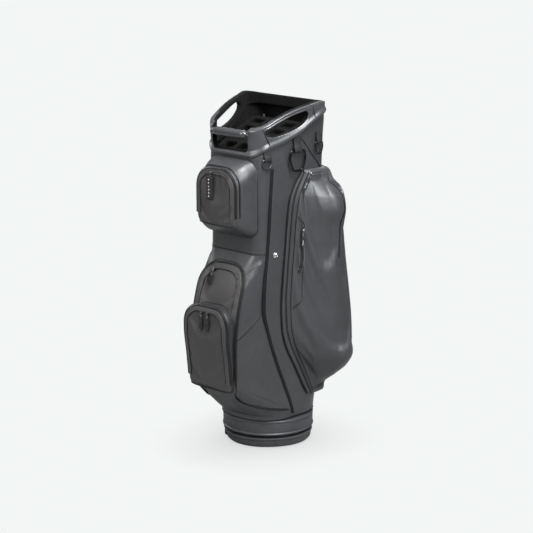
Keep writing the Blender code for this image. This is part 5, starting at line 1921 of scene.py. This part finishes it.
def fleece_faces(mesh):
    """1 for each face of the collar that is lined with fleece."""
    centre = np.array([0, 0.02])      # angles are taken about (0, -0.02)
    inner = whole(cuff_half(-WALL_T * 0.60)) + centre
    middles, normals = read_polygons(mesh, "center"), read_polygons(mesh, "normal")
    radial = np.stack([middles[:, 0], middles[:, 1] + 0.02], 1)
    reach = np.interp(np.arctan2(radial[:, 1], radial[:, 0]),
                      np.arctan2(inner[:, 1], inner[:, 0]),
                      np.hypot(inner[:, 0], inner[:, 1]), period=2 * math.pi)
    distance = np.hypot(radial[:, 0], radial[:, 1])
    radial /= distance[:, None] + 1e-9
    outward = (normals[:, :2] * radial).sum(1)
    # the pile is turned over the rim, and lines the edges of the windows
    lined = (distance < reach) | ((outward < 0.22) & (middles[:, 2] > 0.80))
    return lined.astype(np.int32)


def build_collar():
    solid = collar_solid()
    cutters = collar_cutters()
    for cut in cutters:
        boolean = solid.modifiers.new("b", "BOOLEAN")
        boolean.operation = "DIFFERENCE"
        boolean.solver = "EXACT"
        boolean.object = cut
    remesh = solid.modifiers.new("r", "REMESH")
    remesh.mode = "VOXEL"
    remesh.voxel_size = 0.0021
    remesh.adaptivity = 0.0
    remesh.use_smooth_shade = True
    soft = solid.modifiers.new("s", "SMOOTH")
    soft.factor = 0.5
    soft.iterations = 7
    graph = bpy.context.evaluated_depsgraph_get()
    mesh = bpy.data.meshes.new_from_object(solid.evaluated_get(graph))
    for thing in cutters + [solid]:
        bpy.data.objects.remove(thing, do_unlink=True)
    mesh.name = "collar_moulding"
    mesh.materials.clear()
    mesh.materials.append(COLLAR)
    mesh.materials.append(FLEECE)
    mesh.polygons.foreach_set("material_index", fleece_faces(mesh))
    mesh.shade_smooth()
    place("collar_moulding", mesh, "bag", "cuff_grip", ["top_cuff"])


def build_collar_rails():
    parts = Parts()
    ys = np.linspace(-0.118, 0.024, 60)
    scale = np.ones(len(ys))
    for k in range(6):
        scale[k] = scale[-1 - k] = math.sin(math.pi / 2 * (k + 1) / 7)
    for side, _ in SIDES:
        # padded rail over each side window: twin rounded ridges
        for drop, width, offset in ((0.0036, 0.0058, 0.0004), (0.0098, 0.0052, 0.0002)):
            path = np.array([(cuff_x(y, offset), y, curve(CUFF_TOP, y) - drop) for y in ys])
            parts.sweep(path * flip(side), rrect(width, 0.0050, 0.0024, 4), RAIL,
                        np.array((1.0, -0.12, 0.45)) * flip(side), scale=scale)
        # seams in front of and behind the window, top to bottom: y, z
        for (y0, z0), (y1, z1) in (((-0.121, 0.866), (-0.100, 0.814)),
                                   ((0.026, 0.914), (0.034, 0.878))):
            seam = []
            for t in np.linspace(0, 1, 24):
                y = y0 + (y1 - y0) * t
                seam.append((cuff_x(y, 0.0006 + 0.0016 * t ** 4), y, z0 + (z1 - z0) * t))
            parts.cord(np.array(seam) * flip(side), DEEP, radius=0.0010)
    parts.build("collar_rails", "bag", "cuff_grip")


def build_front_grip():
    """A padded bar between two sockets."""
    parts = Parts()
    bar = np.array([(x, -0.1302 - 0.0012 * math.cos(x / 0.07 * 1.4),
                     0.8452 + 0.0006 * math.cos(x / 0.07))
                    for x in np.linspace(-0.0700, 0.0520, 50)])
    scale = np.ones(len(bar))
    for k in range(8):
        taper = math.sin(math.pi / 2 * (k + 0.6) / 8.0)
        scale[-1 - k] = taper
        scale[k] = 0.75 + 0.25 * taper
    parts.sweep(bar, rrect(0.0232, 0.0215, 0.0095, 6), RAIL, UP, scale=scale)
    parts.stitches(bar[3:-5] + [0, 0.0, -0.0108], (0, 0, -1.0), DARK_THREAD)
    for x, side in ((0.0545, 1), (-0.0705, -1)):
        socket = [(x - side * 0.006, -0.1290, 0.8440), (x, -0.1288, 0.8435),
                  (x + side * 0.006, -0.1265, 0.8430)]
        parts.sweep(socket, rrect(0.0180, 0.0170, 0.0060, 4), PLASTIC, UP)
    parts.build("front_grip_bar", "bag", "cuff_grip", ["front_handle"])


build_collar()
build_collar_rails()
build_front_grip()

# ================================================================== divider
DIVIDER_SLOPE, DIVIDER_Z = 0.30, 0.832
# Rows of club wells: front y, rear y, wells across
WELL_ROWS = [(-0.112, -0.069, 3), (-0.062, -0.020, 3), (-0.013, 0.024, 4), (0.031, 0.066, 4)]


def well_outline(y0, y1, k, count):
    """Rounded outline of well k in a row of `count`."""
    def edge(y, i):
        half = outline_x(half_outline(*CUFF, offset=-(WALL_T + 0.0010)), y) - 0.006
        return -half + 2 * half * i / count

    corners = np.array([(edge(y0, k), y0), (edge(y0, k + 1), y0),
                        (edge(y1, k + 1), y1), (edge(y1, k), y1)])
    corners = corners + np.sign(corners.mean(0) - corners) * 0.0018
    points = []
    for i in range(4):
        points += fillet(corners[i - 1], corners[i], corners[(i + 1) % 4], 0.008, 5)
    return np.array(points)


def build_divider():
    def on_divider(outline, drop):
        return [(x, y, DIVIDER_Z + DIVIDER_SLOPE * y - drop) for x, y in outline]

    rims = Parts()
    for y0, y1, count in WELL_ROWS:
        for k in range(count):
            outline = resample_loop(well_outline(y0, y1, k, count), 40)
            rims.cord(on_divider(outline, 0.0015), FLEECE, radius=0.0046, sides=10,
                      cyclic=True)
    outline = whole(half_outline(*CUFF, offset=-(WALL_T + 0.0050)))
    rims.cord(on_divider(outline, 0.0010), FLEECE, radius=0.0042, sides=10, cyclic=True)
    rims = rims.build("rims_work")
    both = bmesh.new()
    both.from_mesh(NODES["divider_grid"].data)
    both.from_mesh(rims.data)
    mesh = bpy.data.meshes.new("divider_fleece")
    both.to_mesh(mesh)
    both.free()
    bpy.data.objects.remove(rims, do_unlink=True)
    divider = place("divider_fleece", mesh)
    remesh = divider.modifiers.new("r", "REMESH")
    remesh.mode = "VOXEL"
    remesh.voxel_size = 0.0020
    soft = divider.modifiers.new("s", "SMOOTH")
    soft.factor = 0.5
    soft.iterations = 3
    graph = bpy.context.evaluated_depsgraph_get()
    mesh = bpy.data.meshes.new_from_object(divider.evaluated_get(graph))
    divider.modifiers.clear()
    divider.data = mesh
    coords = np.zeros(len(mesh.vertices) * 3, np.float32)
    mesh.vertices.foreach_get("co", coords)
    for point in coords.reshape(-1, 3):
        point[2] += rumple(point, 70.0, 0.0009, 3.0)
    mesh.vertices.foreach_set("co", coords)
    mesh.materials.clear()
    mesh.materials.append(FLEECE)
    mesh.shade_smooth()
    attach(divider, "bag")
    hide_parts("divider_grid")


build_divider()


# ================================================================== rings, stud and web loop
def box_stitch(parts, centre, across, up, half_width, half_height, normal, count,
               crossed=True):
    w, h = half_width, half_height
    corners = [(-w, -h), (w, -h), (w, h), (-w, h), (-w, -h)] + [(w, h)] * crossed
    path = [centre + across * a + np.array(up) * b for a, b in corners]
    parts.stitches(resample(path, count), normal, DARK_THREAD, pitch=0.0030, length=0.0021)


def build_hung_ring(name, ring, tab, z, y, outline, wire, tab_width, tab_height, material):
    """Wire ring on the tube's right side and the webbing tab it hangs from.

    The outline is given as share along the side and height, from the ring's upper bar.
    """
    across = unit(on_side(z, y + 0.01) - on_side(z, y - 0.01))
    origin = on_side(z, y)
    normal = np.array([across[1], -across[0], 0.0])

    def stand_off(zs, ys):
        return max(float((on_side(at_z, at_y) - origin) @ normal) for at_z in zs for at_y in ys)

    half = tab_width / 2
    rise = tab_height + wire + 0.0008
    low, wide = min(v for _, v in outline), max(u for u, _ in outline)
    base = stand_off((z, z + rise / 2, z + rise),
                     (y - half, y - half / 2, y, y + half / 2, y + half))
    clear = max(base, stand_off((z + low, z), (y - wide, y, y + wide)))
    hang = origin + normal * (clear + wire + 0.0024)
    points = np.array([hang + across * u + np.array([0, 0, v]) for u, v in outline])
    parts = Parts()
    parts.sweep(soften(resample_loop(points, 4 * len(points)), 2, True),
                rrect(wire * 2.3, wire * 1.8, wire * 0.8, 3), material, normal, cyclic=True)
    parts.build(name, ring, "black_ring", [ring])

    # webbing folded round the ring's upper bar: distance out, height
    thick = 0.0015
    bend = wire + thick * 0.5 + 0.0006
    out = float((hang - origin) @ normal)
    top = tab_height + 0.004
    under = base + 0.0010 + thick * 0.5
    fold = [(under, top), (max(under, out - bend), 0.010)]
    fold += [(out - bend * math.cos(a), -bend * math.sin(a))
             for a in np.linspace(0.0, math.pi, 9)]
    fold += [(out + bend * 0.8, 0.008), (base + 0.0030 + thick, top * 0.55),
             (base + 0.0012 + thick * 1.5, top)]
    path = np.array([origin + normal * a + np.array([0, 0, b])
                     for a, b in resample(soften(fold, 1), 46)])
    parts = Parts()
    parts.sweep(path, rrect(tab_width * 0.96, thick, thick * 0.35, 2), WEB,
                np.cross(np.gradient(path, axis=0), across))
    centre = origin + normal * (base + 0.0012 + thick * 2.1) + np.array([0, 0, top * 0.72])
    box_stitch(parts, centre, across, UP, tab_width * 0.36, top * 0.20, normal, 60)
    parts.build(tab + "_web", "bag", "webbing", [tab])


def build_snap_stud():
    """Washer, domed cap and pressed ring on the right side."""
    origin, normal = on_side(0.530, -0.075), side_normal(0.530, -0.075)
    across = np.array([-normal[1], normal[0], 0.0])
    # radius, height
    profile = [(0.0075, -0.0004), (0.0078, 0.0004), (0.0070, 0.0010), (0.0056, 0.0011),
               (0.0052, 0.0024), (0.0044, 0.0034), (0.0030, 0.0040), (0.0026, 0.0036),
               (0.0012, 0.0034)]
    parts = Parts()
    parts.loft([hoop(origin + normal * (height + 0.0006), across, UP, radius, 28)
                for radius, height in profile], BRIGHT)
    parts.build("snap_stud_cap", "bag", "bright_metal", ["snap_stud"])


def build_web_loop():
    """Web loop on the rear wall of the right apparel pocket."""
    z = 0.515
    _, wall = apparel_split(z, 10, 4)
    x, y = unit(wall[-1] - wall[0])
    across = np.array([x, y, 0.0])
    normal = np.array([y, -x, 0.0])
    if normal[1] <= 0:
        normal = -normal
    origin = np.array([*wall[0], z]) + across * 0.015
    # distance out, height
    bow = [(0.0074, 0.024), (0.0088, 0.014), (0.0135, 0.0), (0.0088, -0.014),
           (0.0074, -0.024)]
    path = [origin + normal * a + np.array([0, 0, b]) for a, b in resample(soften(bow), 30)]
    parts = Parts()
    parts.sweep(path, rrect(0.0235, 0.0018, 0.0006, 2), WEB, normal)
    for height in (0.018, -0.018):
        box_stitch(parts, origin + normal * 0.0088 + np.array([0, 0, height]), across, UP,
                   0.009, 0.004, normal, 40, crossed=False)
    parts.build("side_web_loop", "bag", "webbing", ["side_web_tab"])


build_hung_ring(
    "towel_ring_wire", "towel_ring", "towel_ring_tab", z=0.7990, y=-0.014,
    outline=[(-0.022, 0.0), (0.022, 0.0), (0.026, -0.022), (0.015, -0.052),
             (-0.015, -0.052), (-0.026, -0.022)],
    wire=0.0027, tab_width=0.026, tab_height=0.028, material=BLACK_NICKEL)
build_hung_ring(
    "front_ring_wire", "d_ring", "d_ring_tab", z=0.7840, y=-0.108,
    outline=[(-0.012, 0.0), (0.012, 0.0), (0.013, -0.012), (0.008, -0.021),
             (-0.008, -0.021), (-0.013, -0.012)],
    wire=0.0017, tab_width=0.020, tab_height=0.016, material=GUNMETAL)
build_hung_ring(
    "rear_ring_wire", "rear_d_ring", "rear_ring_tab", z=0.8140, y=0.058,
    outline=[(-0.012, 0.0), (0.012, 0.0), (0.013, -0.014), (0.008, -0.030),
             (-0.008, -0.030), (-0.013, -0.014)],
    wire=0.0018, tab_width=0.020, tab_height=0.022, material=BLACK_NICKEL)
build_snap_stud()
build_web_loop()


# ================================================================== spine pad
def build_spine_pad():
    rows, cols, half, foot, top, corner = 90, 26, 0.0745, 0.1365, 0.7935, 0.02
    channels = (-0.026, 0.026)
    grid = np.zeros((rows, cols, 3))
    for i, z in enumerate(np.linspace(foot, top, rows)):
        for j, x in enumerate(np.linspace(-half, half, cols)):
            inset_x, inset_z = half - abs(x), min(z - foot, top - z)
            inset = min(inset_x, inset_z)
            if inset_x < corner and inset_z < corner:
                inset = max(0.0, corner - math.hypot(corner - inset_x, corner - inset_z))
            rise = 0.0075 * (1 - math.exp(-inset / 0.006))
            # two upright channels and two cross seams
            rise -= sum(0.0030 * bell(x - at, 0.0035) for at in channels)
            rise -= sum(0.0022 * bell(z - at, 0.004) for at in (0.245, 0.775))
            rise += rumple((x, 0, z), 20.0, 0.0010, 3.0) * min(1, inset / 0.01)
            grid[i, j] = (x, SPINE_Y + 0.0008 + rise, z)
    verts, faces, pick, _ = sheet(grid, 0.0010, to_back)
    # flat against the tube
    front = rows * cols
    verts[front:] = verts[:front]
    verts[front:, 1] = SPINE_Y
    parts = Parts()
    parts.add(verts, faces, LEATHER, LINING, pick=pick)
    for x in channels:
        run = [(x, SPINE_Y + 0.0056, z) for z in np.linspace(0.150, 0.780, 120)]
        parts.stitches(run, (0, 1.0, 0))
    edge = [(-0.0735, 0.158), (-0.0735, 0.772), (-0.054, 0.7925), (0.054, 0.7925),
            (0.0735, 0.772), (0.0735, 0.158), (0.054, 0.1375), (-0.054, 0.1375)]
    parts.cord([(x, SPINE_Y + 0.0022, z) for x, z in resample(soften(edge, 3, True), 260)],
               DEEP, radius=0.0017, cyclic=True)
    parts.build("spine_pad", "bag", "leatherette", ["spine_panel"])


# ================================================================== shoulder strap
def build_strap_tab(tag, z):
    """Leather patch, a webbing bridge over the ring's bar, box stitches."""
    centre = np.array([0, SPINE_Y + 0.0098, z])
    parts = Parts()
    parts.block((0.040, 0.0016, 0.040), centre - [0, 0.0010, 0], WORLD_AXES, DEEP)
    # x, distance out
    bridge = [(-0.017, 0.0010), (-0.010, 0.0014), (-0.0055, 0.0030), (0.0, 0.0036),
              (0.0055, 0.0030), (0.010, 0.0014), (0.017, 0.0010)]
    path = np.array([centre + [x, y, 0] for x, y in resample(soften(bridge), 34)])
    normals = np.cross(np.gradient(path, axis=0), UP)
    normals = normals * np.sign(normals[:, 1:2] + 1e-9)
    parts.sweep(path, rrect(0.0230, 0.0012, 0.0004, 2), WEB, normals)
    for side in (-1, 1):
        box_stitch(parts, centre + [side * 0.0135, 0.0020, 0], np.array([1.0, 0, 0]), UP,
                   0.004, 0.009, (0, 1.0, 0), 50)
    parts.build("strap_tab_" + tag + "_web", "bag", "webbing", ["strap_tab_" + tag])


def build_strap_ring(tag, z):
    # distance behind RING_Y, height
    outline = [(0.0020, -0.020), (0.0020, 0.020), (0.0100, 0.019), (0.0200, 0.010),
               (0.0200, -0.010), (0.0100, -0.019)]
    points = np.array([(0, RING_Y + y, z + rise) for y, rise in outline])
    parts = Parts()
    parts.sweep(soften(resample_loop(points, 24), 2, True), circle(0.0020, 12), GUNMETAL,
                (1.0, 0, 0), cyclic=True)
    # block that joins the ring's outer bar to the strap
    parts.block((0.0080, 0.0042, 0.0100), (0, RING_Y + 0.0212, z), WORLD_AXES, GUNMETAL,
                bevel=0.0012)
    parts.build("strap_ring_" + tag + "_wire", "strap", "gunmetal", ["strap_ring_" + tag])


def strap_point(t, out=0.0):
    """Point and normal on the strap's bow, from its top (t = 0) to its foot (t = 1)."""
    bow, drop = 0.040, 0.464
    y_step = bow * math.pi * math.cos(math.pi * t)
    normal = unit(np.array([0, drop, y_step]))
    point = np.array([0, RING_Y + 0.0245 + bow * math.sin(math.pi * t), 0.742 - drop * t])
    return point + normal * out, normal


def build_shoulder_webbing():
    shares = np.linspace(0, 1, 90)
    path = np.array([strap_point(t)[0] + [rumple((0, 0, t), 5.0, 0.0010), 0, 0]
                     for t in shares])
    normals = np.array([strap_point(t)[1] for t in shares])
    parts = Parts()
    parts.sweep(path, rrect(0.0380, 0.0024, 0.0008, 2), WEB, normals)
    for side in (-1, 1):
        parts.stitches(path + normals * 0.0013 + [side * 0.0165, 0, 0], normals, DARK_THREAD)
    # ladder buckle near the lower end, with the doubled run of webbing
    centre, normal = strap_point(0.84, 0.0022)
    up = np.array([0, -normal[2], normal[1]])
    axes = np.array([[1.0, 0, 0], normal, up])
    for rise in (-0.010, 0.0, 0.010):
        parts.block((0.046, 0.0034, 0.0042), centre + up * rise, axes, PLASTIC, bevel=0.0010)
    for side in (-1, 1):
        parts.block((0.0042, 0.0034, 0.0250), centre + [side * 0.0215, 0, 0], axes, PLASTIC,
                    bevel=0.0010)
    double = [strap_point(t, 0.0026 + 0.0008 * math.sin(9 * t))
              for t in np.linspace(0.80, 0.985, 24)]
    parts.sweep([found[0] for found in double], rrect(0.0370, 0.0016, 0.0006, 2), WEB,
                [found[1] for found in double])
    parts.build("shoulder_webbing", "strap", "webbing", ["shoulder_strap"])


def build_shoulder_pad():
    """Padded leaf on the strap with a bound edge and stitched channels."""
    start, end, cols = 0.235, 0.765, 22
    span = end - start
    shares = np.linspace(start, end, 64)
    upper, under = np.zeros((len(shares), cols, 3)), np.zeros((len(shares), cols, 3))
    for i, t in enumerate(shares):
        from_end = min(t - start, end - t) / span
        rounding = math.sqrt(max(0.0, 1 - (1 - min(from_end / 0.09, 1.0)) ** 2))
        half = 0.0300 * (0.62 + 0.38 * rounding)
        for j, s in enumerate(np.linspace(-1, 1, cols)):
            x = half * s
            inset = min((1 - abs(s)) * half, from_end * span * 0.49)
            fade = min(1, inset / 0.006)
            rise = 0.0068 * (1 - math.exp(-inset / 0.0055))
            rise -= sum(0.0020 * bell(x - at, 0.0022) * fade for at in (-0.010, 0.010))
            rise -= 0.0014 * bell(math.sin((t - start) / span * math.pi * 6), 0.12) * fade
            point, normal = strap_point(t, 0.0024 + rise)
            upper[i, j] = point + [x, 0, 0] + normal * rumple((x, 0, t), 40.0, 0.0005)
            under[i, j] = strap_point(t, 0.0020)[0] + [x, 0, 0]
    upper = drape(upper, border(len(shares), cols, 2), pressure=0.8, cap=0.003, steps=10,
                  shrink=-0.006, bend=3.0, away=to_back)
    _, faces, pick, _ = sheet(upper, 0.001, to_back)
    parts = Parts()
    parts.add(np.vstack([upper.reshape(-1, 3), under.reshape(-1, 3)]), faces, LEATHER,
              LINING, pick=pick)
    edge = np.vstack([upper[:, 0], upper[-1, 1:-1], upper[::-1, -1], upper[0, 1:-1][::-1]])
    parts.cord(resample_loop(edge, 199), DEEP, radius=0.0016, cyclic=True)
    normals = np.array([strap_point(t)[1] for t in shares])[4:-4]
    for share in (0.34, 0.66):
        parts.stitches(upper[4:-4, int(cols * share)] + normals * 0.0004, normals)
    parts.build("shoulder_pad", "strap", "leatherette", ["strap_pad"])


build_spine_pad()
for tag, z in (("top", 0.745), ("bottom", 0.275)):
    build_strap_tab(tag, z)
    build_strap_ring(tag, z)
build_shoulder_webbing()
build_shoulder_pad()

# ================================================================== stage, light and camera
BACKDROP = (0.896, 0.922, 0.913)


def build_floor():
    """Pale floor: the camera sees a flat glowing tone with a painted contact shadow near the bag,
    light sees grey.
    """
    mesh = bpy.data.meshes.new("studio_floor")
    half = 40.0
    mesh.from_pydata([(-half, -half, 0), (half, -half, 0), (half, half, 0), (-half, half, 0)],
                     [], [(0, 1, 2, 3)])
    s = new_shader("studio_floor")
    s.surface(Base_Color=(0.30, 0.30, 0.30), Roughness=0.8)
    occlusion = s.node("AmbientOcclusion", Distance=0.22)
    occlusion.samples = 8
    # Ambient occlusion darkens the glowing tone near the bag: painted contact shadow.
    tone = s.mottle(occlusion.outputs["AO"], (0.62, 0.63, 0.63), BACKDROP, span=(0.15, 0.95))
    glow = s.node("Emission", Color=tone)
    blend = s.node("MixShader")
    s.feed(blend.inputs[0], s.node("LightPath").outputs["Is Camera Ray"])
    s.feed(blend.inputs[1], s.tree.nodes["Principled BSDF"].outputs["BSDF"])
    s.feed(blend.inputs[2], glow.outputs["Emission"])
    s.feed(s.tree.nodes["Material Output"].inputs["Surface"], blend.outputs["Shader"])
    mesh.materials.append(s.owner)
    floor = place("studio_floor", mesh)
    floor.location = (0, 0, -0.0005)


def build_world():
    """Sky that brightens upward for lighting, and a plain backdrop for the camera."""
    world = bpy.data.worlds.new("studio")
    SCENE.world = world
    s = Shader(world)
    split = s.node("SeparateXYZ")
    s.feed(split.inputs[0], s.node("TexCoord").outputs["Generated"])
    sky = s.tree.nodes["Background"]
    strength = s.remap(split.outputs["Z"], span=(-0.1, 0.9), to=(0.05, 0.54))
    s.fill(sky, {"Color": (0.93, 0.97, 1.0), "Strength": strength})
    backdrop = s.node("Background", Color=BACKDROP, Strength=1.0)
    blend = s.node("MixShader")
    s.feed(blend.inputs[0], s.node("LightPath").outputs["Is Camera Ray"])
    s.feed(blend.inputs[1], sky.outputs[0])
    s.feed(blend.inputs[2], backdrop.outputs[0])
    s.feed(s.tree.nodes["World Output"].inputs["Surface"], blend.outputs[0])


def aim_at(thing, target):
    to_target = Vector(target) - thing.location
    thing.rotation_euler = to_target.to_track_quat("-Z", "Y").to_euler()


def area_light(name, location, target, size, power, colour):
    light = bpy.data.lights.new(name, "AREA")
    light.shape = "RECTANGLE"
    light.size, light.size_y = size
    light.energy = power
    light.color = colour
    lamp = bpy.data.objects.new(name, light)
    lamp.location = location
    aim_at(lamp, target)
    SCENE.collection.objects.link(lamp)


def build_camera():
    distance, angle = 4.79, math.radians(43)      # level distance, turned from front to right
    data = bpy.data.cameras.new("camera")
    data.lens = 124.953096
    data.sensor_width = 36.0
    data.shift_x = -0.002814259
    camera = bpy.data.objects.new("camera", data)
    camera.location = (distance * math.sin(angle), -distance * math.cos(angle), 1.63)
    aim_at(camera, (0, 0, 0.470))
    SCENE.collection.objects.link(camera)
    SCENE.camera = camera
    SCENE.view_settings.view_transform = "Standard"
    SCENE.view_settings.look = "None"


build_floor()
build_world()
area_light("key_right", location=(1.9, -0.55, 2.0), target=(0.05, 0, 0.66), size=(1.0, 1.3),
           power=56.0, colour=(0.95, 0.98, 1.0))
area_light("fill_front", location=(-0.5, -2.6, 1.9), target=(0, 0, 0.50), size=(1.4, 1.2),
           power=40.0, colour=(1.0, 0.965, 0.94))
area_light("top_soft", location=(0.8, -0.4, 2.4), target=(0.05, 0, 0.7), size=(0.8, 0.8),
           power=64.0, colour=(0.98, 0.99, 1.0))
area_light("rear_soft", location=(-1.6, 2.6, 1.6), target=(0, 0, 0.5), size=(1.4, 1.4),
           power=16.0, colour=(0.97, 0.98, 1.0))
area_light("left_soft", location=(-3.0, -0.3, 1.3), target=(0, 0, 0.5), size=(1.2, 1.4),
           power=14.0, colour=(0.98, 0.99, 1.0))
build_camera()

bpy.context.view_layer.update()
